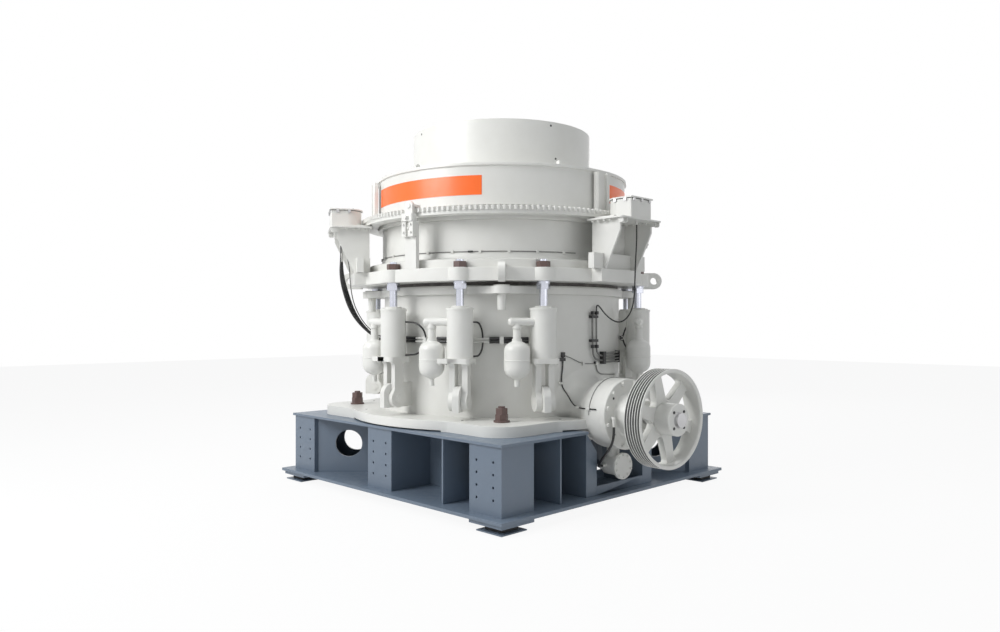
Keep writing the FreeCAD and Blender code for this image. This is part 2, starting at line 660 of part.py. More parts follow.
def lifting_lugs():
    half = LIFT_THICK / 2
    body = box(RING_HUB_R, LIFT_EYE_AT, -half, half, LIFT_EYE_Z - LIFT_EYE_R, LIFT_EYE_Z + LIFT_EYE_R)
    eye = rod(LIFT_EYE_R, LIFT_THICK, Vector(LIFT_EYE_AT, -half, LIFT_EYE_Z), ALONG_Y)
    lug = body.fuse(eye).cut(rod(LIFT_HOLE_R, LIFT_THICK, Vector(LIFT_EYE_AT, -half, LIFT_EYE_Z), ALONG_Y))
    cheek = box(RING_HUB_R, RING_FLANGE_R, -half, half, 0, Z_RING_HUB)
    lug = lug.cut(cheek).cut(rod(RING_FLANGE_R, Z_RING_HUB, ORIGIN))
    lug = lug.cut(rod(RING_HUB_R, Z_RING_STEP, ORIGIN))
    return round_about(lug, BOSS_ANGLES)


def cylinder_rods():
    length = Z_RING_HUB + ROD_TOP - ROD_FOOT_Z
    return round_about(rod(ROD_R, length, Vector(CYLINDER_AT, 0, ROD_FOOT_Z)), CYLINDER_ANGLES)


def rod_nuts():
    """Nut and washer over the flange and lock nut under it, all on the rod."""
    x = CYLINDER_AT
    hole = rod(ROD_R, Z_RING_HUB, Vector(x, 0, Z_RING - 200))
    top = hexagon(ROD_NUT_FLAT, ROD_NUT, x, 0, Z_RING_HUB, 12).cut(hole)
    washer_low = Z_RING - (SEAT_HEIGHT - 10)
    washer = rod(LOCK_WASHER_R, Z_RING - washer_low, Vector(x, 0, washer_low))
    low = hexagon(LOCK_NUT_FLAT, LOCK_NUT, x, 0, washer_low - LOCK_NUT, 25)
    low = low.fuse(washer).cut(hole)
    return round_about(top, CYLINDER_ANGLES) + round_about(low, CYLINDER_ANGLES)


def drive_brackets():
    """Tray and two tapered side plates that carry each drive box on the ring's flange."""
    low = TRAY_TOP_Z - TRAY
    tray = box(TRAY_INNER, TRAY_OUTER, -TRAY_HALF, TRAY_HALF, low, TRAY_TOP_Z)
    parts = [tray]
    for side in (-1, 1):
        y = side * BRACKET_AT - BRACKET_PLATE / 2
        corners = [(BRACKET_INNER, y, Z_RING_HUB), (BRACKET_FOOT, y, Z_RING_HUB),
                   (BRACKET_FOOT + 15, y, Z_RING_HUB + 30), (BRACKET_OUTER, y, low - 35),
                   (BRACKET_OUTER, y, low), (BRACKET_INNER, y, low)]
        parts.append(prism(corners, Vector(0, BRACKET_PLATE, 0)))
    return round_about(joined(parts), GUIDE_ANGLES)


def drive_boxes():
    body = box(BOX_INNER, BOX_OUTER, -BOX_HALF, BOX_HALF, TRAY_TOP_Z, TRAY_TOP_Z + BOX_HEIGHT)
    return round_about(body, GUIDE_ANGLES)


def drive_box_lids():
    z = TRAY_TOP_Z + BOX_HEIGHT
    over = BOX_LID_OVER
    lid = box(BOX_INNER, BOX_OUTER + over, -BOX_HALF - over, BOX_HALF + over, z, z + BOX_LID)
    return round_about(lid, GUIDE_ANGLES)


def lock_brackets():
    """Upright plate on the flange with a pin and a hook over the drive ring."""
    half = LOCK_WIDTH / 2
    plate_in = GEAR_R + LOCK_PLATE_GAP
    plate_out = plate_in + LOCK_PLATE
    foot = box(LOCK_FOOT_INNER, LOCK_FOOT_OUTER, -half, half, Z_RING_HUB, GEAR_LOW_Z - 90)
    plate = box(plate_in, plate_out, -half, half, GEAR_LOW_Z - 190, LOCK_TOP_Z - half)
    crown = rod(half, LOCK_PLATE, Vector(plate_in, 0, LOCK_TOP_Z - half), ALONG_X)
    hook = box(GEAR_R - 80, plate_out, -half * 0.6, half * 0.6, Z_GEAR_TOP + LOCK_PLATE_GAP, Z_GEAR_TOP + 60)
    pin = rod(LOCK_PIN_R, LOCK_WIDTH + 50, Vector(plate_out + 4, -half - 25, Z_GEAR_TOP + 30), ALONG_Y)
    return round_about(joined([foot, plate, crown, hook, pin]), LOCK_ANGLES)


def drive_ring():
    """Toothed ring that rides on the clamp ring's bearing strip."""
    step = Z_CLAMP_TOP + BEARING_STRIP + SOFT_GAP
    body = turned([(GEAR_INNER_R, step), (GEAR_STEP_R, step), (GEAR_STEP_R, GEAR_LOW_Z),
                   (GEAR_R - TOOTH_DEPTH, GEAR_LOW_Z), (GEAR_R - TOOTH_DEPTH, Z_GEAR_TOP),
                   (GEAR_INNER_R, Z_GEAR_TOP)])
    root, tip = GEAR_R - TOOTH_DEPTH, GEAR_R
    pitch = 360.0 / GEAR_TEETH
    points = []
    for k in range(GEAR_TEETH):
        for r, share in ((root, -0.36), (tip, -0.14), (tip, 0.14), (root, 0.36)):
            a = math.radians((k + share) * pitch)
            points.append((r * math.cos(a), r * math.sin(a), Z_GEAR_TOP - TOOTH_HEIGHT))
    teeth = prism(points, Vector(0, 0, TOOTH_HEIGHT))
    teeth = teeth.cut(rod(root - 4, TOOTH_HEIGHT, Vector(0, 0, Z_GEAR_TOP - TOOTH_HEIGHT)))
    return [body.fuse(teeth)]


def guide_channels():
    """Upright channels on the drive ring in which the cap slides as it turns."""
    half = GUIDE_WIDTH / 2
    top = Z_GEAR_TOP + GUIDE_HEIGHT
    outer = GUIDE_INNER_R + GUIDE_THICK
    back = box(GUIDE_INNER_R, GUIDE_INNER_R + GUIDE_THICK / 2, -half, half, Z_GEAR_TOP, top)
    bars = [box(GUIDE_INNER_R, outer, -half, -half + GUIDE_BAR, Z_GEAR_TOP, top),
            box(GUIDE_INNER_R, outer, half - GUIDE_BAR, half, Z_GEAR_TOP, top)]
    return round_about(joined([back] + bars), GUIDE_ANGLES)


def bowl():
    """Bowl with its flange; below the thread it narrows where it hangs inside the barrel."""
    body = turned([(BOWL_SKIRT_R, BOWL_LOW_Z), (BOWL_TIP_R, BOWL_LOW_Z), (BOWL_TIP_R, BOWL_LOW_Z + BOWL_TIP),
                   (BOWL_R, BOWL_LOW_Z + BOWL_TIP + BOWL_R - BOWL_TIP_R), (BOWL_R, BOWL_FLANGE_LOW_Z),
                   (CAP_R - CAP_WALL - SOFT_GAP, BOWL_FLANGE_LOW_Z),
                   (CAP_R - CAP_WALL - SOFT_GAP, Z_BOWL_TOP), (BOWL_MOUTH_R, Z_BOWL_TOP)])
    return [body]


def bowl_liner():
    slope = (BOWL_SKIRT_R - BOWL_MOUTH_R) / (Z_BOWL_TOP - BOWL_LOW_Z)
    low_r = BOWL_SKIRT_R + slope * LINER_DROP
    low_z = BOWL_LOW_Z - LINER_DROP
    shell = turned([(BOWL_MOUTH_R, Z_BOWL_TOP), (low_r, low_z), (low_r - LINER_THICK, low_z),
                    (BOWL_MOUTH_R - LINER_THICK, Z_BOWL_TOP)])
    return [shell]


def adjustment_cap():
    inner = CAP_R - CAP_WALL
    skirt = turned([(inner, CAP_LOW_Z), (CAP_R, CAP_LOW_Z), (CAP_R, Z_CAP_TOP - CAP_LIP),
                    (CAP_LIP_R, Z_CAP_TOP - CAP_LIP), (CAP_LIP_R, Z_CAP_TOP), (HOPPER_R, Z_CAP_TOP),
                    (HOPPER_R, Z_CAP_TOP - CAP_WALL), (inner, Z_CAP_TOP - CAP_WALL)])
    return [skirt]


def banner_plates():
    """Bare coloured bands on the cap between the guides."""
    span = BANNER_TO - BANNER_FROM
    profile = box(CAP_R, CAP_R + BANNER, 0, 1, BANNER_LOW_Z, BANNER_LOW_Z + BANNER_HEIGHT)
    face = [f for f in profile.Faces if abs(f.CenterOfMass.y) < 0.01][0]
    band = face.revolve(ORIGIN, UP, span)
    return round_about(spun(band, BANNER_FROM), GUIDE_ANGLES)


def feed_hopper():
    return [ring(HOPPER_R, HOPPER_R - HOPPER_WALL, Z_BOWL_TOP, HOPPER_TOP_Z)]


def mantle():
    t = MANTLE_THICK
    return [turned([(MANTLE_SKIRT_R, MANTLE_SKIRT_Z), (MANTLE_SKIRT_R, MANTLE_SKIRT_Z + MANTLE_SKIRT),
                    (MANTLE_TOP_R, MANTLE_TOP_Z), (HEAD_NECK_R, MANTLE_TOP_Z),
                    (HEAD_NECK_R, MANTLE_TOP_Z - t), (MANTLE_SKIRT_R - t, MANTLE_SKIRT_Z + MANTLE_SKIRT - t / 2),
                    (MANTLE_SKIRT_R - t, MANTLE_SKIRT_Z)])]


def head():
    t = MANTLE_THICK
    return [turned([(0, Z_HEAD), (SOCKET_R, Z_HEAD), (MANTLE_SKIRT_R - t - 90, MANTLE_SKIRT_Z - 60),
                    (MANTLE_SKIRT_R - t, MANTLE_SKIRT_Z), (MANTLE_SKIRT_R - t, MANTLE_SKIRT_Z + MANTLE_SKIRT - t / 2),
                    (HEAD_NECK_R, MANTLE_TOP_Z - t), (HEAD_NECK_R, MANTLE_TOP_Z), (0, MANTLE_TOP_Z)])]


def head_socket():
    return [rod(SOCKET_R, SOCKET_HEIGHT, Vector(0, 0, Z_SOCKET))]


def feed_plate():
    disc = turned([(0, MANTLE_TOP_Z), (FEED_PLATE_R, MANTLE_TOP_Z), (FEED_PLATE_R, MANTLE_TOP_Z + FEED_PLATE / 2),
                   (FEED_PLATE_R - 60, MANTLE_TOP_Z + FEED_PLATE), (0, MANTLE_TOP_Z + FEED_PLATE)])
    return [disc]


def countershaft():
    """Shaft through housing and wheel; its free end past the wheel's hub is turned down."""
    hub_face = SHEAVE_FACE_AT + SHEAVE_HUB_OUT
    return [on_shaft(about_x([(SHAFT_INNER_END, 0), (SHAFT_INNER_END, SHAFT_R), (hub_face, SHAFT_R),
                              (hub_face, SHAFT_TIP_R), (SHEAVE_FACE_AT + SHAFT_OUT, SHAFT_TIP_R),
                              (SHEAVE_FACE_AT + SHAFT_OUT, 0)]))]


def drive_sheave():
    """Belt wheel with V grooves, six tapered spokes and a hub that stands out past the rim."""
    land = (GROOVE_PITCH - GROOVE_MOUTH) / 2
    start = SHEAVE_BACK_AT + (SHEAVE_WIDTH - SHEAVE_GROOVES * GROOVE_PITCH) / 2
    profile = [(SHEAVE_BACK_AT, RIM_INNER_R), (SHEAVE_BACK_AT, SHEAVE_R)]
    for k in range(SHEAVE_GROOVES):
        x = start + k * GROOVE_PITCH
        middle = x + GROOVE_PITCH / 2
        profile.append((x + land, SHEAVE_R))
        profile.append((middle - GROOVE_FLOOR / 2, SHEAVE_R - GROOVE_DEPTH))
        profile.append((middle + GROOVE_FLOOR / 2, SHEAVE_R - GROOVE_DEPTH))
        profile.append((x + GROOVE_PITCH - land, SHEAVE_R))
    profile += [(SHEAVE_FACE_AT, SHEAVE_R), (SHEAVE_FACE_AT, RIM_INNER_R + 20),
                (SHEAVE_FACE_AT - 40, RIM_INNER_R)]
    parts = [about_x(profile)]
    back = SHEAVE_FACE_AT - SPOKE_SETBACK - SPOKE_THICK
    parts.append(rod(SHEAVE_HUB_R, SHEAVE_FACE_AT + SHEAVE_HUB_OUT - back + 20,
                     Vector(back - 20, 0, 0), ALONG_X))
    for k in range(SPOKES):
        inner, outer = SHEAVE_HUB_R - 25, RIM_INNER_R + 8
        corners = [(back, -SPOKE_ROOT / 2, inner), (back, SPOKE_ROOT / 2, inner),
                   (back, SPOKE_TIP / 2, outer), (back, -SPOKE_TIP / 2, outer)]
        spoke = prism(corners, Vector(SPOKE_THICK, 0, 0))
        spoke.rotate(ORIGIN, ALONG_X, 360.0 / SPOKES * k)
        parts.append(spoke)
    wheel = joined(parts).cut(rod(SHAFT_R, SHEAVE_FACE_AT + 200, ORIGIN, ALONG_X))
    return [on_shaft(wheel)]


NODES = {
    "foot_plates": foot_plates,
    "rubber_pads": rubber_pads,
    "base_bottom_plate": base_bottom_plate,
    "base_corner_posts": base_corner_posts,
    "base_diagonal_webs": base_diagonal_webs,
    "base_middle_posts": base_middle_posts,
    "base_inner_wall": base_inner_wall,
    "base_drive_posts": base_drive_posts,
    "base_top_plate": base_top_plate,
    "main_frame_foot": main_frame_foot,
    "main_frame_barrel": main_frame_barrel,
    "hub_and_arms": hub_and_arms,
    "seat_ring": seat_ring,
    "countershaft_tunnel": countershaft_tunnel,
    "countershaft_housing": countershaft_housing,
    "drain_canister": drain_canister,
    "anchor_nuts": anchor_nuts,
    "frame_pins": frame_pins,
    "cylinder_lugs": cylinder_lugs,
    "release_cylinders": release_cylinders,
    "accumulators": accumulators,
    "manifold_pipes": manifold_pipes,
    "head_socket": head_socket,
    "head": head,
    "mantle": mantle,
    "feed_plate": feed_plate,
    "adjustment_ring": adjustment_ring,
    "clamp_ring": clamp_ring,
    "lifting_lugs": lifting_lugs,
    "cylinder_rods": cylinder_rods,
    "rod_nuts": rod_nuts,
    "drive_brackets": drive_brackets,
    "drive_boxes": drive_boxes,
    "drive_box_lids": drive_box_lids,
    "lock_brackets": lock_brackets,
    "drive_ring": drive_ring,
    "guide_channels": guide_channels,
    "bowl": bowl,
    "bowl_liner": bowl_liner,
    "adjustment_cap": adjustment_cap,
    "banner_plates": banner_plates,
    "feed_hopper": feed_hopper,
    "countershaft": countershaft,
    "drive_sheave": drive_sheave,
}


def main():
    os.makedirs("parts", exist_ok=True)
    for name, make in NODES.items():
        solids = []
        for shape in make():
            solids += shape.Solids
        whole = solids[0] if len(solids) == 1 else Part.makeCompound(solids)
        whole.exportStep("parts/" + name + ".step")
        print(name, len(solids), "solids, %.3f m3" % (whole.Volume / 1e9), "valid" if whole.isValid() else "INVALID")


main()
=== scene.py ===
import json
import math

import bmesh
import bpy
from mathutils import Matrix, Vector


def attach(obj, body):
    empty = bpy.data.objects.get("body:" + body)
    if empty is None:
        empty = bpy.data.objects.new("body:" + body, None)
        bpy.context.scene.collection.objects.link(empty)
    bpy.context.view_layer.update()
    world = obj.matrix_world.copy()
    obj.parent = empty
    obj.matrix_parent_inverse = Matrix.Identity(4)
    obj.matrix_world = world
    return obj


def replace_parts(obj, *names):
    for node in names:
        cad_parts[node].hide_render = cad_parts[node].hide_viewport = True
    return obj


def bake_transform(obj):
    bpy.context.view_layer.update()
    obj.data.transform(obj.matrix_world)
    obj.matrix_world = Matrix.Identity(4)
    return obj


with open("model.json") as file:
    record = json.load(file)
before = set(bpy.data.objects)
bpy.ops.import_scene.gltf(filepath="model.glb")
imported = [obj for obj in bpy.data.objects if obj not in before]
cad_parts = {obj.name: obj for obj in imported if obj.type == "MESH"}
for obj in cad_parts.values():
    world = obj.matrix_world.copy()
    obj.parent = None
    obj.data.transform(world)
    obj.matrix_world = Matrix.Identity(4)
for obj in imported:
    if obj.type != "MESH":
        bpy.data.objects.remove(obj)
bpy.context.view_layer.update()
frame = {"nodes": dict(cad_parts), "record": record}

# Camera of the photograph: level, on the near corner's diagonal
CAMERA_AZIMUTH = math.radians(45.05)
CAMERA_DISTANCE = 8.8
CAMERA_HEIGHT = 1.751
LENS = 28.13
SHIFT_X = -0.0018
SHIFT_Y = 0.0069

FRAME_BODY = "frame"
RING_BODY = "adjustment_ring_body"
DRIVE_BODY = "drive_ring_body"
BOWL_BODY = "bowl_body"
SHAFT_BODY = "countershaft_body"
UP = Vector((0, 0, 1))


# Objects and nodes

def placed(name, data):
    """New object in the scene that holds the data."""
    made = bpy.data.objects.new(name, data)
    bpy.context.scene.collection.objects.link(made)
    return made


def add_node(tree, kind, inputs=(), **settings):
    """New node; inputs gives each socket, by name or number, a value or the socket that feeds it."""
    made = tree.nodes.new(kind)
    for key, value in settings.items():
        setattr(made, key, value)
    for key, value in dict(inputs).items():
        if isinstance(value, bpy.types.NodeSocket):
            tree.links.new(value, made.inputs[key])
        else:
            made.inputs[key].default_value = value
    return made


# Camera, lamps and floor

LAMP_TARGET = Vector((0, 0, 1.8))
FLOOR_HALF = 30.0
FLOOR_WHITE = 0.92


def make_camera():
    data = bpy.data.cameras.new("photo_camera")
    data.lens = LENS
    data.sensor_width = 36.0
    data.shift_x = SHIFT_X
    data.shift_y = SHIFT_Y
    camera = placed("photo_camera", data)
    side = Vector((math.sin(CAMERA_AZIMUTH), -math.cos(CAMERA_AZIMUTH), 0.0))
    camera.location = side * CAMERA_DISTANCE + UP * CAMERA_HEIGHT
    camera.rotation_euler = (math.radians(90), 0, CAMERA_AZIMUTH)
    bpy.context.scene.camera = camera


def lamp(name, azimuth, height, distance, size, power):
    """Area lamp that looks at the machine's middle; azimuth 0 is in front of the -Y side."""
    data = bpy.data.lights.new(name, "AREA")
    data.shape = "RECTANGLE"
    data.size = size[0]
    data.size_y = size[1]
    data.energy = power
    lamp_object = placed(name, data)
    a = math.radians(azimuth)
    place = Vector((math.sin(a) * distance, -math.cos(a) * distance, height))
    lamp_object.location = place
    lamp_object.rotation_euler = (LAMP_TARGET - place).to_track_quat("-Z", "Y").to_euler()


def make_lamps():
    lamp("key_lamp", -12, 6.5, 9.0, (4.5, 4.5), 680)
    lamp("fill_lamp", 95, 4.5, 10.0, (6.0, 5.0), 90)
    lamp("top_lamp", 30, 11.0, 2.0, (6.0, 6.0), 360)
    lamp("back_lamp", 215, 6.0, 10.0, (6.0, 5.0), 260)


def seen_directly(tree):
    """1 for rays from the camera, from a reflection or through glass."""
    path = add_node(tree, "ShaderNodeLightPath").outputs
    total = path["Is Camera Ray"]
    for name in ("Is Glossy Ray", "Is Transmission Ray"):
        total = add_node(tree, "ShaderNodeMath", {0: total, 1: path[name]}, operation="MAXIMUM").outputs[0]
    return total


def mix_to_output(tree, share, first, second, output):
    """Two shaders mixed by a share and sent to the tree's output."""
    mix = add_node(tree, "ShaderNodeMixShader", {0: share, 1: first.outputs[0], 2: second.outputs[0]})
    add_node(tree, output, {"Surface": mix.outputs[0]})


def make_world():
    """White towards the camera and in reflections, softer as light."""
    world = bpy.data.worlds.new("studio")
    bpy.context.scene.world = world
    world.use_nodes = True
    tree = world.node_tree
    tree.nodes.clear()
    soft = add_node(tree, "ShaderNodeBackground", {"Color": (0.92, 0.96, 1.0, 1.0), "Strength": 0.30})
    white = add_node(tree, "ShaderNodeBackground", {"Color": (1.0, 1.0, 1.0, 1.0), "Strength": 1.0})
    mix_to_output(tree, seen_directly(tree), soft, white, "ShaderNodeOutputWorld")


def make_floor():
    """Pale floor that shows nearly white and keeps a soft shadow under the base."""
    mesh = bpy.data.meshes.new("floor")
    corners = [(x * FLOOR_HALF, y * FLOOR_HALF, 0) for x, y in ((-1, -1), (1, -1), (1, 1), (-1, 1))]
    mesh.from_pydata(corners, [], [(0, 1, 2, 3)])
    floor = placed("floor", mesh)
    material = bpy.data.materials.new("pale_floor")
    material.use_nodes = True
    tree = material.node_tree
    tree.nodes.clear()
    diffuse = add_node(tree, "ShaderNodeBsdfDiffuse", {"Color": (0.8, 0.8, 0.8, 1.0)})
    bright = add_node(tree, "ShaderNodeEmission", {"Strength": 1.0})
    share = add_node(tree, "ShaderNodeMath", {0: seen_directly(tree), 1: FLOOR_WHITE}, operation="MULTIPLY")
    mix_to_output(tree, share.outputs[0], diffuse, bright, "ShaderNodeOutputMaterial")
    mesh.materials.append(material)


# Materials, all on Object coordinates in metres

def scaled(colour, share):
    return tuple(c * share for c in colour)


class Shader:
    """A Principled material with helpers for the patterns that it needs."""

    def __init__(self, name, colour, roughness, metallic=0.0):
        self.material = bpy.data.materials.new(name)
        self.material.use_nodes = True
        self.tree = self.material.node_tree
        self.base = self.tree.nodes["Principled BSDF"].inputs
        self.base["Base Color"].default_value = (*colour, 1.0)
        self.base["Roughness"].default_value = roughness
        self.base["Metallic"].default_value = metallic
        self.place = self.add("ShaderNodeTexCoord").outputs["Object"]

    def add(self, kind, inputs=(), **settings):
        return add_node(self.tree, kind, inputs, **settings)

    def feed(self, socket, source):
        self.tree.links.new(source, self.base[socket])

    def noise(self, scale, detail, stretch=None):
        place = self.place
        if stretch is not None:
            place = self.add("ShaderNodeMapping", {"Vector": place, "Scale": stretch}).outputs[0]
        return self.add("ShaderNodeTexNoise", {"Vector": place, "Scale": scale,
                                               "Detail": detail}).outputs["Fac"]

    def between(self, fac, low=0.0, high=1.0):
        """Map a 0 to 1 pattern to a range, with the middle of the noise spread out."""
        return self.add("ShaderNodeMapRange", {"Value": fac, "From Min": 0.3, "From Max": 0.7,
                                               "To Min": low, "To Max": high}).outputs[0]

    def mixed(self, fac, first, second):
        """Two colours blended by a pattern; the first may be a socket."""
        if not isinstance(first, bpy.types.NodeSocket):
            first = (*first, 1.0)
        return self.add("ShaderNodeMix", {"Factor": fac, "A": first, "B": (*second, 1.0)},
                        data_type="RGBA").outputs["Result"]

    def bump(self, height, strength, distance):
        made = self.add("ShaderNodeBump", {"Height": height, "Strength": strength, "Distance": distance})
        self.feed("Normal", made.outputs["Normal"])


def paint(name, colour, grime, rough, grain):
    """Shop paint: slow change of tone, dust in faint patches, orange-peel grain."""
    shader = Shader(name, colour, rough)
    tone = shader.mixed(shader.between(shader.noise(1.1, 4.0)), colour, scaled(colour, 0.955))
    patch = shader.between(shader.noise(7.0, 6.0), 0.0, 0.10)
    shader.feed("Base Color", shader.mixed(patch, tone, grime))
    shader.feed("Roughness", shader.between(shader.noise(16.0, 3.0), rough - 0.05, rough + 0.07))
    shader.bump(shader.noise(grain, 2.0), 0.10, 0.0012)
    shader.base["Coat Weight"].default_value = 0.18
    shader.base["Coat Roughness"].default_value = 0.22
    return shader.material


def cast_metal(name, colour, rough, scale):
    """Bare casting: mottled, pitted skin."""
    shader = Shader(name, colour, rough, 0.75)
    mottled = shader.between(shader.noise(9.0, 5.0))
    shader.feed("Base Color", shader.mixed(mottled, colour, scaled(colour, 0.6)))
    shader.feed("Roughness", shader.between(shader.noise(30.0, 4.0), rough - 0.1, rough + 0.15))
    shader.bump(shader.noise(scale, 5.0), 0.35, 0.003)
    return shader.material


def bright_metal(name, colour, rough, along):
    """Ground or turned steel with fine marks along one direction."""
    shader = Shader(name, colour, rough, 1.0)
    marks = shader.noise(60.0, 3.0, along)
    shader.feed("Roughness", shader.between(marks, rough - 0.04, rough + 0.10))
    shader.bump(marks, 0.06, 0.0006)
    shader.feed("Base Color", shader.mixed(shader.between(shader.noise(6.0, 3.0)), colour,
                                           scaled(colour, 0.86)))
    return shader.material


def rubbery(name, colour, rough, grain):
    """Rubber or dull tube: cloudy tone and a fine grain."""
    shader = Shader(name, colour, rough)
    lighter = tuple(c * 1.5 + 0.004 for c in colour)
    shader.feed("Base Color", shader.mixed(shader.between(shader.noise(14.0, 4.0)), colour, lighter))
    shader.feed("Roughness", shader.between(shader.noise(40.0, 3.0), rough - 0.06, rough + 0.08))
    shader.bump(shader.noise(grain, 3.0), 0.15, 0.0008)
    return shader.material


def make_materials():
    finishes = (
        (paint, "white_paint", (0.765, 0.765, 0.735), (0.55, 0.53, 0.47), 0.40, 150.0),
        (paint, "base_paint", (0.140, 0.182, 0.240), (0.20, 0.22, 0.24), 0.42, 170.0),
        (paint, "orange_paint", (1.0, 0.150, 0.012), (0.8, 0.22, 0.06), 0.34, 260.0),
        (paint, "red_brown", (0.105, 0.062, 0.056), (0.16, 0.10, 0.08), 0.45, 220.0),
        (rubbery, "rubber", (0.012, 0.012, 0.013), 0.6, 90.0),
        (rubbery, "grey_tube", (0.16, 0.16, 0.155), 0.42, 240.0),
        (rubbery, "dark_pipe", (0.022, 0.022, 0.023), 0.38, 200.0),
        (rubbery, "hose_rubber", (0.012, 0.012, 0.013), 0.33, 300.0),
        (bright_metal, "bright_steel", (0.66, 0.68, 0.76), 0.20, (12.0, 12.0, 0.4)),
        (bright_metal, "machined_steel", (0.56, 0.56, 0.57), 0.32, (1.0, 1.0, 14.0)),
        (cast_metal, "cast_steel", (0.20, 0.19, 0.18), 0.62, 70.0),
        (cast_metal, "manganese_steel", (0.23, 0.22, 0.21), 0.50, 45.0),
    )
    return {name: make(name, *look) for make, name, *look in finishes}


make_camera()
make_world()
make_lamps()
make_floor()
MATERIALS = make_materials()


# Places on the machine, in metres, and the pieces that repeat

CYLINDER_ANGLES = (-90, -60, -30, 30, 60, 90, 150, 180, 210)
TABBED_ANGLES = (-90, -60, 30, 60, 150, 180)
BOX_ANGLES = (0, 120, 240)
LOCK_ANGLES = (-79, 41, 161)
LEFT_BOX = 240
SHAFT_TURN = -5
SHAFT_Z = 0.889
BARREL_R = 1.303
BAND_R = 1.350
BAND_LOW = 2.026
BAND_HIGH = 2.098
PIN_AT = 1.460
PIN_ANGLES = (45, 135, 225, 315)
LOBE_R = 0.104
RING_BARREL_R = 1.324
CYLINDER_AT = 1.515
TRAY_Z = 2.735
TRAY_TOP = 2.750


def turned(point, angle):
    """Point given in the frame of a box, cylinder or shaft, turned about the main axis."""
    return Matrix.Rotation(math.radians(angle), 3, "Z") @ Vector(point)


def polar(radius, angle, z):
    return turned((radius, 0, z), angle)


def on_shaft(s, radius, phi):
    """Point at a distance s along the countershaft; phi is 90 on top and 180 on the side of -Y."""
    a = math.radians(phi)
    return turned((s, radius * math.cos(a), SHAFT_Z + radius * math.sin(a)), SHAFT_TURN)


def arc(u, v, radius, degrees):
    """Points at the given degrees on a circle about (u, v)."""
    return [(u + radius * math.cos(math.radians(a)), v + radius * math.sin(math.radians(a)))
            for a in degrees]


# Step that keeps two faces from lying in one plane
HAIR = 0.0005

FLAT_ANGLE = math.radians(0.4)
SHARP_ANGLE = math.radians(28)
SMOOTH_ANGLE = math.radians(40)
MERGE = 0.00001


def evaluated_mesh(holder):
    """Mesh of a helper object with its modifiers applied; the helper goes."""
    bpy.context.view_layer.update()
    mesh = bpy.data.meshes.new_from_object(
        holder.evaluated_get(bpy.context.evaluated_depsgraph_get()))
    bpy.data.objects.remove(holder)
    return mesh


def weighted(mesh):
    """Mesh whose shading normals follow its large faces, so that flats stay flat beside rounded edges."""
    holder = placed("holder", mesh)
    holder.modifiers.new("weighted", "WEIGHTED_NORMAL").keep_sharp = True
    return evaluated_mesh(holder)


def drawn_mesh(name, bm):
    """Mesh of the faces, shaded smooth up to its sharp edges."""
    for face in bm.faces:
        face.smooth = True
    mesh = bpy.data.meshes.new(name)
    bm.to_mesh(mesh)
    bm.free()
    mesh.set_sharp_from_angle(angle=SMOOTH_ANGLE)
    return mesh


def round_sharp_edges(bm, edge):
    if edge > 0:
        edges = [e for e in bm.edges if len(e.link_faces) == 2 and e.calc_face_angle(0) > SHARP_ANGLE]
        bmesh.ops.bevel(bm, geom=edges, offset=edge, segments=2, profile=0.6, affect="EDGES",
                        clamp_overlap=True)


def new_piece(name, mesh, finish):
    piece = placed(name, mesh)
    mesh.materials.clear()
    mesh.materials.append(MATERIALS[finish])
    return piece


def finish_object(name, mesh, finish="white_paint", body=FRAME_BODY):
    piece = new_piece(name, mesh, finish)
    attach(piece, body)
    return piece


# The rigid nodes: each gets a finished copy, or a form of its own further down

THIN_WALL = 0.03
EDGE = 0.0022
EDGES = {
    "main_frame_foot": 0.010, "main_frame_barrel": 0.005, "adjustment_ring": 0.007, "hub_and_arms": 0.006,
    "lifting_lugs": 0.005, "base_corner_posts": 0.003, "drive_ring": 0.0012, "feed_hopper": 0.003,
    "adjustment_cap": 0.004, "mantle": 0.006, "bowl_liner": 0.005, "banner_plates": 0.0, "rubber_pads": 0.004,
}

# Height between the nuts above and below the adjustment ring
NUTS_PART_Z = 2.2

# Nodes that get a form of their own
FORMED_NODES = ("release_cylinders", "cylinder_lugs", "accumulators", "manifold_pipes", "countershaft_tunnel",
                "countershaft_housing", "drive_sheave", "drive_brackets", "drive_boxes", "drive_box_lids",
                "lock_brackets", "guide_channels")


def close_side_holes(bm):
    """The corner panels that face the drive side and its opposite are plain: their holes are closed."""
    walls = []
    for face in bm.faces:
        size = [max(v.co[k] for v in face.verts) - min(v.co[k] for v in face.verts) for k in range(3)]
        if abs(face.normal.x) < 0.1 and size[0] > max(size[1], 0.01) and max(size[1:]) < THIN_WALL:
            walls.append(face)
    bmesh.ops.delete(bm, geom=walls, context="FACES")
    bmesh.ops.holes_fill(bm, edges=[e for e in bm.edges if len(e.link_faces) == 1], sides=0)


def soften(node, finish, body, edge, name="", low=-math.inf, high=math.inf):
    """Finished copy of what a node has between two heights: sharp edges rounded, curves smooth."""
    bm = bmesh.new()
    bm.from_mesh(frame["nodes"][node].data)
    bmesh.ops.remove_doubles(bm, verts=bm.verts, dist=2 * MERGE)
    bmesh.ops.delete(bm, geom=[v for v in bm.verts if not low < v.co.z < high], context="VERTS")
    if node == "base_corner_posts":
        close_side_holes(bm)
    bmesh.ops.dissolve_limit(bm, angle_limit=FLAT_ANGLE, verts=bm.verts, edges=bm.edges)
    round_sharp_edges(bm, edge)
    name = (name or node) + "_finish"
    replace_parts(finish_object(name, weighted(drawn_mesh(name, bm)), finish, body), node)


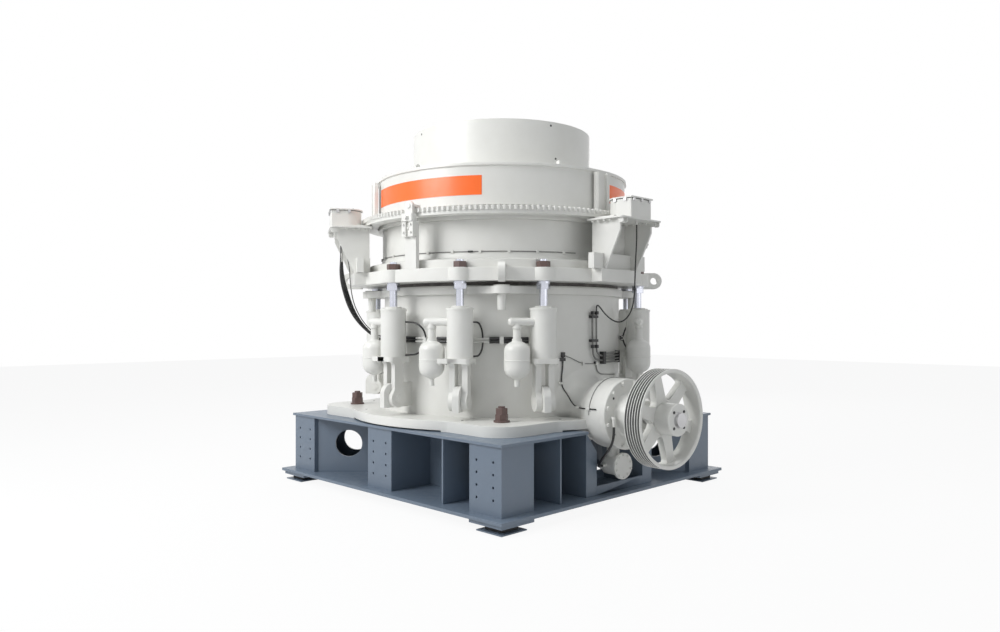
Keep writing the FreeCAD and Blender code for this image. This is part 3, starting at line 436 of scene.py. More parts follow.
def finish_cad_nodes():
    """Every rigid node without a form of its own gets its finished copy."""
    slots = {s["node"]: s["material_slot"] for s in frame["record"]["subparts"]}
    bodies = {node: body for body, nodes in frame["record"]["behaviour"]["bodies"].items() for node in nodes}
    for node, piece in frame["nodes"].items():
        piece.data.materials.clear()
        piece.data.materials.append(MATERIALS[slots[node]])
        if node == "rod_nuts":
            soften(node, slots[node], bodies[node], EDGE, "upper_rod_nuts", low=NUTS_PART_Z)
            soften(node, "bright_steel", bodies[node], EDGE, "lower_rod_nuts", high=NUTS_PART_Z)
        elif node not in FORMED_NODES:
            soften(node, slots[node], bodies[node], EDGES.get(node, EDGE))


# Cords: the routes of the hoses and cables, in metres, each in the frame of its box or of the shaft

BOX_HOSE = ((1.772, 0, 2.712), (1.772, 0, 2.50), (1.772, 0, 2.400), (1.772, 0, 2.296),
            (1.756, 0.006, 2.180), (1.722, 0.003, 2.056), (1.680, -0.004, 1.930), (1.620, -0.008, 1.812),
            (1.544, -0.005, 1.714), (1.466, -0.001, 1.640), (1.392, 0, 1.588), (1.329, 0, 1.558))
BOX_CABLE = ((1.800, 0.046, 2.710), (1.798, 0.050, 2.615), (1.790, 0.058, 2.500), (1.772, 0.070, 2.370),
             (1.752, 0.090, 2.240), (1.720, 0.128, 2.112), (1.682, 0.170, 1.994), (1.626, 0.214, 1.884),
             (1.550, 0.236, 1.796), (1.468, 0.224, 1.752), (1.404, 0.176, 1.778), (1.362, 0.112, 1.846),
             (1.346, 0.062, 1.906), (1.336, 0.030, 1.934), (1.331, 0.016, 1.912), (1.331, 0.016, 1.860))
THIN_CABLE = ((1.738, 0.046, 2.712), (1.736, 0.046, 2.650), (1.735, 0.052, 2.560), (1.716, 0.070, 2.450),
              (1.694, 0.098, 2.330), (1.690, 0.128, 2.200), (1.678, 0.142, 2.072), (1.650, 0.138, 1.948),
              (1.596, 0.112, 1.832), (1.526, 0.080, 1.732), (1.450, 0.056, 1.660), (1.396, 0.047, 1.616),
              (1.329, 0.044, 1.600))
DRAIN_HOSE = ((1.806, -0.242, 0.872), (1.870, -0.242, 0.872), (1.895, -0.242, 0.866),
              (1.895, -0.242, 0.830), (1.895, -0.242, 0.790), (1.895, -0.242, 0.716),
              (1.887, -0.250, 0.650), (1.862, -0.262, 0.590), (1.820, -0.272, 0.534),
              (1.772, -0.268, 0.484), (1.726, -0.254, 0.440), (1.686, -0.222, 0.408),
              (1.656, -0.178, 0.391), (1.656, -0.120, 0.391))
HOSE_SPACING = 0.028
HOSE_BOW = 0.021


def spline_curve(name, points, thickness=0.0, closed=False):
    """NURBS curve with the points as its control points."""
    data = bpy.data.curves.new(name, "CURVE")
    data.dimensions = "3D"
    data.resolution_u = 10
    data.bevel_depth = thickness
    data.bevel_resolution = 3
    data.use_fill_caps = not closed
    spline = data.splines.new("NURBS")
    spline.points.add(len(points) - 1)
    for place, point in zip(points, spline.points):
        point.co = (*place, 1.0)
    spline.use_cyclic_u = closed
    spline.order_u = 3
    spline.use_endpoint_u = not closed
    return data


def mesh_of_curve(data):
    holder = bpy.data.objects.new("holder", data)
    mesh = bpy.data.meshes.new_from_object(holder)
    bpy.data.objects.remove(holder)
    bpy.data.curves.remove(data)
    return mesh


def pipe_mesh(points, radius, closed=False):
    tube = mesh_of_curve(spline_curve("pipe", points, radius, closed))
    bm = bmesh.new()
    bm.from_mesh(tube)
    bpy.data.meshes.remove(tube)
    bmesh.ops.remove_doubles(bm, verts=bm.verts, dist=MERGE)
    bmesh.ops.recalc_face_normals(bm, faces=bm.faces)
    return drawn_mesh("pipe", bm)


def line_of(points):
    """The points that the smooth line of a route passes, and its length."""
    line = mesh_of_curve(spline_curve("line", points))
    places = [v.co.copy() for v in line.vertices]
    length = sum((b - a).length for a, b in zip(places, places[1:]))
    return places, length


def make_cord(node, route, angle, shift, radius, crosses, bow=0.0):
    """Hose or cable on its route, its middle bowed out; one that crosses to the frame stays where it is
    drawn, any other rides with the frame.
    """
    last = len(route) - 1
    points = [turned((x + bow * math.sin(math.pi * k / last) ** 2, y + shift, z), angle)
              for k, (x, y, z) in enumerate(route)]
    places, length = line_of(points)
    piece = new_piece(node + "_tube", pipe_mesh(points, radius), "hose_rubber")
    if crosses:
        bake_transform(piece)
    else:
        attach(piece, FRAME_BODY)


def make_cords():
    for number, side in enumerate((-1, 0, 1), 1):
        make_cord("box_hose_%d" % number, BOX_HOSE, LEFT_BOX, side * HOSE_SPACING, 0.013, True,
                  side * HOSE_BOW)
    make_cord("box_cable", BOX_CABLE, 0, 0, 0.007, True)
    make_cord("thin_cable", THIN_CABLE, LEFT_BOX, 0, 0.005, True)
    make_cord("drain_hose", DRAIN_HOSE, SHAFT_TURN, 0, 0.012, False)


# Bolts: one tree sets a washer and a six-sided head on every point, along the point's axis

BOLT_INPUTS = (("Places", "Geometry", None), ("Head Height", "Float", 1.1), ("Washer Radius", "Float", 1.45),
               ("Washer Thickness", "Float", 0.22), ("Sides", "Int", 6), ("Seed", "Int", 4),
               ("Finish", "Material", None))
CROWN_R = 0.80
CROWN_RISE = 0.07
WASHER_SINK = -0.02


def make_bolt_tree():
    tree = bpy.data.node_groups.new("bolt_heads", "GeometryNodeTree")
    for name, kind, value in BOLT_INPUTS:
        socket = tree.interface.new_socket(name=name, in_out="INPUT", socket_type="NodeSocket" + kind)
        if value is not None:
            socket.default_value = value
    tree.interface.new_socket(name="Bolts", in_out="OUTPUT", socket_type="NodeSocketGeometry")

    def add(kind, inputs=(), **settings):
        return add_node(tree, kind, inputs, **settings).outputs

    def standing(sides, radius, depth, sink):
        """Cylinder whose foot is on the point, or sunk a little below it."""
        shape = add("GeometryNodeMeshCylinder", {"Vertices": sides, "Radius": radius, "Depth": depth})
        half = add("ShaderNodeMath", {0: depth, 1: 0.5, 2: sink}, operation="MULTIPLY_ADD")
        lift = add("ShaderNodeCombineXYZ", {"Z": half[0]})
        return add("GeometryNodeTransform", {"Geometry": shape["Mesh"], "Translation": lift[0]})["Geometry"]

    def named(kind, name):
        return add("GeometryNodeInputNamedAttribute", {"Name": name}, data_type=kind)["Attribute"]

    given = add("NodeGroupInput")
    crown = add("ShaderNodeMath", {0: given["Head Height"], 1: CROWN_RISE}, operation="ADD")[0]
    head = add_node(tree, "GeometryNodeJoinGeometry")
    for shape in (standing(20, given["Washer Radius"], given["Washer Thickness"], WASHER_SINK),
                  standing(given["Sides"], 1.0, given["Head Height"], 0.0),
                  standing(16, CROWN_R, crown, 0.0)):
        tree.links.new(shape, head.inputs[0])
    along = add("FunctionNodeAlignRotationToVector", {"Vector": named("FLOAT_VECTOR", "axis")}, axis="Z")
    turn = add("FunctionNodeRandomValue", {3: math.pi / 3, "Seed": given["Seed"]}, data_type="FLOAT")
    spin = add("FunctionNodeAxisAngleToRotation", {"Axis": (0, 0, 1), "Angle": turn[1]})
    both = add("FunctionNodeRotateRotation", {"Rotation": along[0], "Rotate By": spin[0]},
               rotation_space="LOCAL")
    heads = add("GeometryNodeInstanceOnPoints", {"Points": given["Places"], "Instance": head.outputs[0],
                                                 "Rotation": both[0], "Scale": named("FLOAT", "size")})
    real = add("GeometryNodeRealizeInstances", {0: heads[0]})
    painted = add("GeometryNodeSetMaterial", {"Geometry": real[0], "Material": given["Finish"]})
    add("NodeGroupOutput", {0: painted[0]})
    return tree


def bolts(name, places, finish="white_paint", body=FRAME_BODY, **inputs):
    """Bolt heads at (point, axis, size) places, size being half the head's width over its corners."""
    mesh = bpy.data.meshes.new(name)
    mesh.from_pydata([tuple(p) for p, _, _ in places], [], [])
    mesh.attributes.new("axis", "FLOAT_VECTOR", "POINT")
    mesh.attributes.new("size", "FLOAT", "POINT")
    for k, (_, direction, width) in enumerate(places):
        mesh.attributes["axis"].data[k].vector = Vector(direction)
        mesh.attributes["size"].data[k].value = width
    holder = placed("holder", mesh)
    modifier = holder.modifiers.new("bolts", "NODES")
    modifier.node_group = BOLT_TREE
    names = {item.name: item.identifier for item in BOLT_TREE.interface.items_tree if item.in_out == "INPUT"}
    modifier[names["Finish"]] = MATERIALS[finish]
    for key, value in inputs.items():
        modifier[names[key.replace("_", " ").title()]] = value
    finish_object(name, evaluated_mesh(holder), finish, body)


def circle_of(count, start, place, axis, size):
    """Places round a bolt circle; place(angle) gives each point."""
    return [(place(start + 360.0 / count * k), axis, size) for k in range(count)]


def row_of(xs, y, z, angle, axis, size):
    """Places in a row along x, turned about the main axis."""
    return [(turned((x, y, z), angle), axis, size) for x in xs]


DOWN = -UP
CANISTER_FACE = 1.800
CANISTER_Z = 0.391
HUB_FACE = 2.446
FOOT_BOLT_X = 0.098
FOOT_BOLT_Y = 0.108
TAB_BOLT_Y = -0.165
GLAND_BOLTS_R = 0.104
FLANGE_BOLTS_R = 0.298
COVER_BOLTS_R = 0.104
NOSE_BOLTS_R = 0.128
HUB_BOLTS_R = 0.100
TRAY_OUTER_BOLTS_Y = 0.295
TRAY_INNER_BOLTS_Y = 0.205
LID_SCREWS_Y = 0.130


def make_drive_bolts():
    """Bolts of the housing's flange, the canister's cover, the housing's nose and the belt wheel's hub."""
    out = turned((1, 0, 0), SHAFT_TURN)
    flange = circle_of(12, 15, lambda a: on_shaft(FLANGE_END, FLANGE_BOLTS_R, a), out, 0.019)
    flange += circle_of(10, 18, lambda a: turned((CANISTER_FACE, *arc(0, CANISTER_Z, COVER_BOLTS_R, (a,))[0]),
                                                 SHAFT_TURN), out, 0.011)
    bolts("drive_flange_bolts", flange)
    nose = circle_of(8, 22, lambda a: on_shaft(NOSE_END - HAIR, NOSE_BOLTS_R, a), out, 0.011)
    bolts("nose_bolts", nose)
    hub = circle_of(4, 45, lambda a: on_shaft(HUB_FACE, HUB_BOLTS_R, a), out, 0.012)
    bolts("sheave_hub_bolts", hub, "dark_pipe", SHAFT_BODY, head_height=0.5, washer_radius=1.15)


def make_cylinder_bolts():
    """Bolts up through the square feet and their tabs, and the gland's bolts on top."""
    feet = []
    for angle in CYLINDER_ANGLES:
        for x in (-FOOT_BOLT_X, FOOT_BOLT_X):
            for y in (-FOOT_BOLT_Y, FOOT_BOLT_Y):
                feet.append((turned((CYLINDER_AT + x, y, CYLINDER_FOOT_Z), angle), DOWN, 0.013))
        if angle in TABBED_ANGLES:
            feet += row_of((CYLINDER_AT + FOOT_BOLT_X,), TAB_BOLT_Y, CYLINDER_FOOT_Z, angle, DOWN, 0.013)
        for x, y in arc(CYLINDER_AT, 0, GLAND_BOLTS_R, [22.5 + 45 * k for k in range(8)]):
            feet.append((turned((x, y, CYLINDER_TOP), angle), UP, 0.008))
    bolts("cylinder_bolts", feet, washer_radius=1.25)


def make_ring_bolts():
    """Bolts under the trays, on the lock brackets, and the lids' screws."""
    ring, heads = [], []
    for angle in BOX_ANGLES:
        for side in (-1, 1):
            for y, xs in ((TRAY_OUTER_BOLTS_Y, (1.530, 1.600, 1.670, 1.738)),
                          (TRAY_INNER_BOLTS_Y, (1.560, 1.640, 1.720, 1.800))):
                ring += row_of(xs, side * y, TRAY_Z, angle, DOWN, 0.014)
        for y in (-LID_SCREWS_Y, LID_SCREWS_Y):
            heads += row_of((1.66, 1.75, 1.84), y, BOX_TOP + LID, angle, UP, 0.010)
    for angle in LOCK_ANGLES:
        front = turned((1, 0, 0), angle)
        for y in (-0.045, 0.045):
            for z in (2.616, 2.690):
                ring.append((turned((1.616, y, z), angle), front, 0.010))
        ring.append((turned((1.628, 0, 2.757), angle), front, 0.020))
    bolts("ring_bolts", ring, body=RING_BODY, head_height=1.3)
    bolts("lid_screws", heads, "dark_pipe", RING_BODY, head_height=0.5, sides=16)


# Small blocks, such as clips and unions, gathered in one mesh for each body and finish

def blocks(name, places, finish="white_paint", body=FRAME_BODY, edge=0.0015):
    """Boxes at (centre, size, turn about the main axis in degrees)."""
    bm = bmesh.new()
    for centre, size, angle in places:
        made = bmesh.ops.create_cube(bm, size=1.0)["verts"]
        bmesh.ops.scale(bm, verts=made, vec=size)
        bmesh.ops.rotate(bm, verts=made, matrix=Matrix.Rotation(math.radians(angle), 3, "Z"))
        bmesh.ops.translate(bm, verts=made, vec=centre)
    bmesh.ops.bevel(bm, geom=bm.edges[:], offset=edge, segments=2, profile=0.6, affect="EDGES")
    finish_object(name, weighted(drawn_mesh(name, bm)), finish, body)


def discs(name, places, finish="dark_pipe", body=FRAME_BODY):
    """Short round pieces at (centre of the foot, axis, radius, height)."""
    bm = bmesh.new()
    for centre, axis, radius, height in places:
        made = bmesh.ops.create_cone(bm, cap_ends=True, segments=20, radius1=radius, radius2=radius,
                                     depth=height)["verts"]
        bmesh.ops.rotate(bm, verts=made, matrix=axis.to_track_quat("Z", "Y").to_matrix())
        bmesh.ops.translate(bm, verts=made, vec=centre + axis.normalized() * height / 2)
    finish_object(name, drawn_mesh(name, bm), finish, body)


def piped(name, pipes, finish="white_paint", body=FRAME_BODY):
    """Pipes of (points, radius) joined in one piece."""
    bm = bmesh.new()
    for points, radius in pipes:
        mesh = pipe_mesh(points, radius)
        bm.from_mesh(mesh)
        bpy.data.meshes.remove(mesh)
    finish_object(name, drawn_mesh(name, bm), finish, body)


def arc_points(radius, z, start, end, step=6.0):
    count = max(3, int(abs(end - start) / step) + 1)
    return [polar(radius, start + (end - start) * k / (count - 1), z) for k in range(count)]


RING_LINE_Z = 2.437
RING_LINE_AT = RING_BARREL_R + 0.007


def make_ring_line():
    """Thin line with clips and dark unions round the adjustment ring."""
    points = arc_points(RING_LINE_AT, RING_LINE_Z, 12, 348)
    piped("ring_line", [(points, 0.0045)], "grey_tube", RING_BODY)
    clips = [(polar(RING_LINE_AT - 0.001, a, RING_LINE_Z), (0.020, 0.026, 0.032), a)
             for a in range(18, 348, 12)]
    blocks("ring_line_clips", clips, body=RING_BODY)
    unions = [(polar(RING_LINE_AT + 0.001, a, RING_LINE_Z), (0.018, 0.05, 0.016), a) for a in (44, 166, 302)]
    blocks("ring_line_unions", unions, "dark_pipe", RING_BODY, 0.003)


def on_barrel(*places):
    """Points just off the barrel at (angle, height) places."""
    return [polar(BARREL_R + 0.010, angle, z) for angle, z in places]


def clip_on_barrel(angle, z, size):
    return (polar(BARREL_R + 0.012, angle, z), size, angle)


def make_barrel_cables():
    """Cables clipped to the barrel beside the drive and round the countershaft's casting."""
    down = on_barrel((-17.8, 1.429), (-17.9, 1.38), (-18.0, 1.322), (-18.5, 1.24), (-18.6, 1.162),
                     (-17.9, 1.11))
    down += [on_shaft(*place) for place in ((1.360, 0.345, 152), (1.420, 0.320, 164), (1.480, 0.302, 170),
                                            (1.560, 0.312, 170.5), (1.650, 0.346, 170.5),
                                            (1.760, 0.346, 170))]
    thin = on_barrel((-17.0, 1.432), (-15.6, 1.420), (-13.6, 1.405), (-10.9, 1.376), (-7.0, 1.346),
                     (-2.5, 1.342), (1.4, 1.340))
    lower = on_barrel((1.6, 1.350), (1.5, 1.320), (2.4, 1.262), (5.2, 1.230), (10.0, 1.222), (20.0, 1.208))
    wrap = [on_shaft(1.668, 0.340, 70 + 11 * k) for k in range(11)]
    piped("drive_cable", [(down, 0.0065)], "hose_rubber")
    piped("thin_barrel_cable", [(thin, 0.004)], "grey_tube")
    piped("lower_barrel_cable", [(lower, 0.005)], "grey_tube")
    piped("casting_cable", [(wrap, 0.0035)], "grey_tube")
    blocks("cable_clips", [clip_on_barrel(-18.6, 1.162, (0.022, 0.05, 0.022)),
                           clip_on_barrel(-7.0, 1.346, (0.02, 0.022, 0.034)),
                           clip_on_barrel(1.5, 1.342, (0.026, 0.028, 0.034)),
                           clip_on_barrel(20.0, 1.208, (0.024, 0.05, 0.024)),
                           (on_shaft(1.486, 0.304, 170), (0.045, 0.022, 0.026), SHAFT_TURN),
                           (on_shaft(1.660, 0.344, 170.5), (0.045, 0.024, 0.026), SHAFT_TURN)])
    blocks("cable_glands", [clip_on_barrel(-17.9, 1.440, (0.03, 0.034, 0.05)),
                            clip_on_barrel(-18.6, 1.394, (0.03, 0.075, 0.03)),
                            clip_on_barrel(0.7, 1.350, (0.02, 0.02, 0.026))], "dark_pipe", edge=0.003)


def make_pin_rings():
    """Retaining ring round each clevis pin, on the outer faces of its fork."""
    places = []
    for angle in CYLINDER_ANGLES:
        for side in (-1, 1):
            out = turned((0, side, 0), angle)
            for y, radius, height in ((FORK_OUTER, 0.052, 0.004), (PIN_END, 0.024, 0.002)):
                places.append((turned((CYLINDER_AT, side * y, CLEVIS_Z), angle), out, radius, height))
    discs("clevis_pin_rings", places, "white_paint")


def draw_barrel_band(bm):
    inner = BARREL_R - 0.01
    revolved(bm, [(BAND_LOW, inner), (BAND_LOW, BAND_R), (BAND_HIGH, BAND_R), (BAND_HIGH, inner)],
             axis_up(0, 0), 96)


def draw_band_lobe(bm):
    """Where the band swells out round a frame pin."""
    tip = arc(PIN_AT, 0, LOBE_R, range(-70, 71, 10))
    extruded(bm, [(1.300, -0.330), (1.318, -0.330)] + tip + [(1.318, 0.330), (1.300, 0.330)],
             BAND_LOW + HAIR, BAND_HIGH - HAIR, flat)


def make_barrel_band():
    formed("barrel_band", [(draw_barrel_band, 0)] + at_angles(draw_band_lobe, PIN_ANGLES), edge=0.004)


def draw_corner_ribs(bm):
    """Upright ribs in the two bays beside the near corner, from the side's line to the inner wall."""
    wall, side, middle, thick = 1.150, 1.640, 0.887, 0.020
    z = (0.123, 0.714)
    block(bm, (middle - thick / 2, middle + thick / 2), (-side, -wall), z)
    block(bm, (wall, side), (-middle - thick / 2, -middle + thick / 2), z)


def make_corner_ribs():
    formed("corner_ribs", [(draw_corner_ribs, 0)], finish="base_paint", edge=0.003)


# Height of the dark line of painted shade under each lid
LID_SHADE_LINE_Z = 2.9335
LID_CLIP_Z = 2.925
FOOT_TOP = 0.840
HOPPER_HOLES = ((-104.8, 3.754), (-14.5, 3.758), (-11.0, 3.427), (75.2, 3.754), (165.5, 3.758))


def make_hole_shade_discs():
    """Dark discs that paint the shade inside threaded holes: on the foot, the hopper and the housing's
    flange.
    """
    foot = [(turned((x, y, FOOT_TOP), a), UP, 0.013, 0.0012)
            for a in (0, 90, 180, 270) for x, y in ((1.40, -0.62), (1.32, 0.80))]
    out = turned((1, 0, 0), SHAFT_TURN)
    foot += [(on_shaft(FLANGE_END, 0.262, a), out, 0.012, 0.0015) for a in (142, 222)]
    discs("threaded_hole_shade", foot)
    hopper = [(polar(0.9845, a, z), polar(1, a, 0), 0.011, 0.0015) for a, z in HOPPER_HOLES]
    discs("hopper_hole_shade", hopper, body=BOWL_BODY)


def make_box_trim():
    """Dark line under each lid, drawn as a seal, that paints the shade under the lid's edge, and the clips
    that hold the lid.
    """
    half, end = BOX_HALF + 0.001, BOX_OUT + 0.001
    outline = [(end, -0.120), (end, 0.0), (end, 0.120), (end, half), (1.850, half + HAIR)]
    outline += arc(BOX_ROUND_AT, 0, half, range(90, 271, 15))
    outline += [(1.850, -half - HAIR), (end, -half)]
    clips = []
    for angle in BOX_ANGLES:
        for y in (-0.128, 0, 0.128):
            clips.append((turned((end + 0.006, y, LID_CLIP_Z), angle), (0.012, 0.030, 0.034), angle))
        for side in (-1, 1):
            for x in (1.70, 1.82):
                place = turned((x, side * (half + 0.0055), LID_CLIP_Z), angle)
                clips.append((place, (0.030, 0.012, 0.034), angle))
    for number, angle in enumerate(BOX_ANGLES, 1):
        points = [turned((x, y, LID_SHADE_LINE_Z), angle) for x, y in outline]
        # Dark line of painted shade under the lid's edge
        finish_object("lid_shade_line_%d" % number, pipe_mesh(points, 0.0035, True), "dark_pipe", RING_BODY)
    blocks("lid_clips", clips, "machined_steel", RING_BODY)


def make_supply_unions():
    """Dark unions on the supply pipes."""
    places = [(Vector((1.337, y, z)), (0.030, 0.030, 0.034), 0) for y in SUPPLY_Y for z in (1.852, 1.515)]
    blocks("pipe_unions", places, "dark_pipe", edge=0.004)


# Forms that are drawn here: outlines with rounds, extruded or turned, then edge-rounded together

def rounded(corners, steps=6):
    """Outline through (u, v) or (u, v, radius) corners, each radius drawn as an arc."""
    points = []
    count = len(corners)
    for k, corner in enumerate(corners):
        here = Vector(corner[:2])
        if len(corner) < 3:
            points.append(here)
            continue
        before = (Vector(corners[k - 1][:2]) - here).normalized()
        after = (Vector(corners[(k + 1) % count][:2]) - here).normalized()
        half = before.angle(after) / 2
        radius = corner[2]
        centre = here + (before + after).normalized() * (radius / math.sin(half))
        first = (here + before * (radius / math.tan(half)) - centre).normalized()
        last = (here + after * (radius / math.tan(half)) - centre).normalized()
        for step in range(steps + 1):
            share = step / steps
            points.append(centre + (first * (1 - share) + last * share).normalized() * radius)
    return points


def both_sides(half):
    """Outline of which one side is given, from -v round to its mirror image."""
    return half + [(u, -v, *radius) for u, v, *radius in reversed(half)]


def flat(u, v, w):
    return (u, v, w)


def upright(u, v, w):
    return (u, w, v)


def facing_out(u, v, w):
    return (w, u, v)


def extruded(bm, corners, low, high, plane):
    """Prism over an outline; plane places (u, v) and the height w."""
    points = rounded(corners)
    foot = [bm.verts.new(plane(p.x, p.y, low)) for p in points]
    top = [bm.verts.new(plane(p.x, p.y, high)) for p in points]
    bm.faces.new(foot)
    bm.faces.new(top)
    for k in range(len(points)):
        bm.faces.new((foot[k - 1], foot[k], top[k], top[k - 1]))


def block(bm, x, y, z):
    extruded(bm, [(x[0], y[0]), (x[1], y[0]), (x[1], y[1]), (x[0], y[1])], *z, flat)


def close_rings(bm, rings, skipped=()):
    """Faces between neighbouring rings of points, all round, without the skipped ones."""
    for k, ring in enumerate(rings):
        for j in range(len(ring)):
            if j not in skipped:
                bm.faces.new((rings[k - 1][j - 1], rings[k - 1][j], ring[j], ring[j - 1]))


def revolved(bm, corners, place, steps):
    """Solid turned from a closed outline of (distance along the axis, radius) corners."""
    points = rounded(corners)
    on_axis = [j for j in range(len(points)) if max(points[j - 1].y, points[j].y) <= MERGE]
    turns = [math.tau * k / steps for k in range(steps)]
    close_rings(bm, [[bm.verts.new(place(p.x, p.y * math.cos(a), p.y * math.sin(a))) for p in points]
                     for a in turns], on_axis)


def axis_up(x, y):
    return lambda u, p, q: (x + p, y + q, u)


def axis_y(x, z):
    return lambda u, p, q: (x + p, u, z + q)


def axis_x(y, z):
    return lambda u, p, q: (u, y + p, z + q)


def rod(bm, place, start, end, radius, steps=28):
    revolved(bm, [(start, 0), (start, radius), (end, radius), (end, 0)], place, steps)


def formed(name, draws, node="", finish="white_paint", body=FRAME_BODY, edge=0.002):
    """Piece drawn by (function, angle) pairs, with its sharp edges rounded; it may stand for a node."""
    bm = bmesh.new()
    for draw, angle in draws:
        before = len(bm.verts)
        draw(bm)
        bm.verts.ensure_lookup_table()
        bmesh.ops.rotate(bm, verts=bm.verts[before:], matrix=Matrix.Rotation(math.radians(angle), 3, "Z"))
    bmesh.ops.remove_doubles(bm, verts=bm.verts, dist=MERGE)
    bmesh.ops.recalc_face_normals(bm, faces=bm.faces)
    round_sharp_edges(bm, edge)
    piece = finish_object(name, weighted(drawn_mesh(name, bm)), finish, body)
    if node:
        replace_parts(piece, node)


def at_angles(draw, angles):
    return [(draw, angle) for angle in angles]


# Tramp release

CYLINDER_R = 0.125
CYLINDER_FOOT_Z = 1.372
CYLINDER_TOP = 1.892
FOOT_BLOCK = 0.047
FOOT_BLOCK_HALF = 0.127
CLEVIS_Z = 1.010
FORK_INNER = 0.035
FORK_OUTER = 0.092
PIN_END = 0.100
BOTTLE_AT = (1.548, -0.268)
MANIFOLD_Z = 1.761
MANIFOLD_R = 0.037
MANIFOLD_START = -0.105


def draw_cylinder(bm, tab):
    """Cylinder with square foot, lip and gland, and the two plates of its fork."""
    x, z, half, corner = CYLINDER_AT, CYLINDER_FOOT_Z, FOOT_BLOCK_HALF, 0.040
    extruded(bm, both_sides([(x - half, -half, corner), (x + half, -half, corner)]), z, z + FOOT_BLOCK, flat)
    top, lip, gland, rod_r = CYLINDER_TOP, CYLINDER_R + 0.006, 0.082, 0.0388
    revolved(bm, [(z + 0.01, 0), (z + 0.01, CYLINDER_R), (top - 0.022, CYLINDER_R), (top - 0.022, lip),
                  (top, lip, 0.005), (top, gland), (top + 0.018, gland, 0.007), (top + 0.018, rod_r),
                  (top - 0.05, rod_r), (top - 0.05, 0)], axis_up(x, 0), 56)
    if tab:
        inner, end = x + 0.033, -0.208
        extruded(bm, [(inner, end), (x + half, end, corner), (x + half, 0.01), (inner, 0.01)],
                 z + HAIR, z + FOOT_BLOCK - HAIR, flat)
    neck, wide, sunk, eye, eye_top = 0.052, 0.096, z + 0.004, 0.089, CLEVIS_Z + 0.088
    outline = [(x - neck, eye_top, 0.035), (x - neck, z, 0.043), (x - wide, z), (x - wide, sunk),
               (x + wide, sunk), (x + wide, z), (x + neck, z, 0.043), (x + neck, eye_top, 0.035)]
    outline += arc(x, CLEVIS_Z, eye, range(35, -216, -10))
    for side in (-1, 1):
        extruded(bm, outline, side * FORK_INNER, side * FORK_OUTER, upright)


def draw_lug(bm):
    """Plate on the foot with its outer top corner rounded, and the clevis pin with its heads."""
    inner, outer, low, top, half = 1.270, 1.653, 0.920, 1.158, 0.033
    extruded(bm, [(inner, low), (outer, low), (outer, top, 0.100), (inner, top)], -half, half, upright)
    rod(bm, axis_y(CYLINDER_AT, CLEVIS_Z), -PIN_END, PIN_END, 0.040, 36)


def draw_bottle(bm):
    """Pressure bottle: nozzle, belly, seam, shoulder, neck and the flange on the neck."""
    r, low, high = 0.121, 1.225, 1.580
    middle = (low + high) / 2
    revolved(bm, [(low - 0.065, 0), (low - 0.065, 0.024), (low, 0.024, 0.012), (low + 0.049, r, 0.100),
                  (middle - 0.006, r), (middle - 0.004, r + 0.003), (middle + 0.004, r + 0.003),
                  (middle + 0.006, r), (high - 0.039, r, 0.080), (high, 0.046, 0.012),
                  (high + 0.024, 0.046), (high + 0.024, 0.038), (high + 0.108, 0.038), (high + 0.108, 0.032),
                  (high + 0.114, 0.032), (high + 0.114, 0.042, 0.005), (high + 0.142, 0.042, 0.005),
                  (high + 0.142, 0.036), (MANIFOLD_Z, 0.036), (MANIFOLD_Z, 0)],
             axis_up(*BOTTLE_AT), 56)


def draw_manifold(bm):
    """Thick pipe from the cylinder to just past the bottle's neck, with a domed end."""
    past = BOTTLE_AT[1] - 0.084
    revolved(bm, [(past, 0), (past, MANIFOLD_R, 0.026), (MANIFOLD_START, MANIFOLD_R), (MANIFOLD_START, 0)],
             axis_y(BOTTLE_AT[0], MANIFOLD_Z), 36)


def make_release_units():
    formed("cylinder_forms", [((lambda bm, tab=a in TABBED_ANGLES: draw_cylinder(bm, tab)), a)
                              for a in CYLINDER_ANGLES], "release_cylinders", edge=0.0025)
    formed("lug_forms", at_angles(draw_lug, CYLINDER_ANGLES), "cylinder_lugs", edge=0.003)
    formed("bottle_forms", at_angles(draw_bottle, CYLINDER_ANGLES), "accumulators", edge=0.0015)
    formed("manifold_forms", at_angles(draw_manifold, CYLINDER_ANGLES), "manifold_pipes", edge=0.0015)


# Casting, housing and belt wheel of the countershaft

TUNNEL_R = 0.285
TUNNEL_BORE = 0.205
HOUSING_BORE = 0.0725
FACE_R = 0.335
FLARE = 0.150
TUNNEL_END = 1.800
FLANGE_END = 1.860
NOSE_END = 2.090
SHEAVE_R = 0.450
SHEAVE_FACE = 2.376
SHEAVE_BACK = 2.1954
SHAFT_HOLE = 0.0705
GROOVES = 6
GROOVE_PITCH = 0.0286
GROOVE_START = SHEAVE_BACK + 0.0045
GROOVE_FLOOR_HALF = 0.0045
SPOKES = 6


def draw_tunnel(bm):
    """Casting that flares into the barrel all round and swells towards its flange."""
    run = rounded([(1.456, TUNNEL_R), (1.503, TUNNEL_R, 0.150), (1.613, FACE_R, 0.150), (TUNNEL_END, FACE_R),
                   (TUNNEL_END, TUNNEL_BORE), (1.230, TUNNEL_BORE)])
    steps, bend = 96, 9
    rings = []
    for k in range(steps):
        a = math.tau * k / steps
        flare = FLARE * min(1.0, max(0.3, 1 + 2 * math.sin(a)))
        row = []
        for step in range(bend + 1):
            t = math.radians(90 * (1 - step / bend))
            r = TUNNEL_R + flare * (1 - math.cos(t))
            s = math.sqrt(BARREL_R ** 2 - (r * math.cos(a)) ** 2) + flare * (1 - math.sin(t)) - 0.002
            row.append((s, r))
        row += [(p.x, p.y) for p in run]
        rings.append([bm.verts.new((s, r * math.cos(a), SHAFT_Z + r * math.sin(a))) for s, r in row])
    close_rings(bm, rings)


def draw_housing(bm):
    """Bolted flange and the nose that carries the shaft's seal."""
    revolved(bm, [(TUNNEL_END, HOUSING_BORE), (TUNNEL_END, FACE_R), (FLANGE_END, FACE_R, 0.012),
                  (FLANGE_END, 0.195, 0.025), (2.030, 0.170), (NOSE_END, 0.145),
                  (NOSE_END, HOUSING_BORE)], axis_x(0, SHAFT_Z), 72)


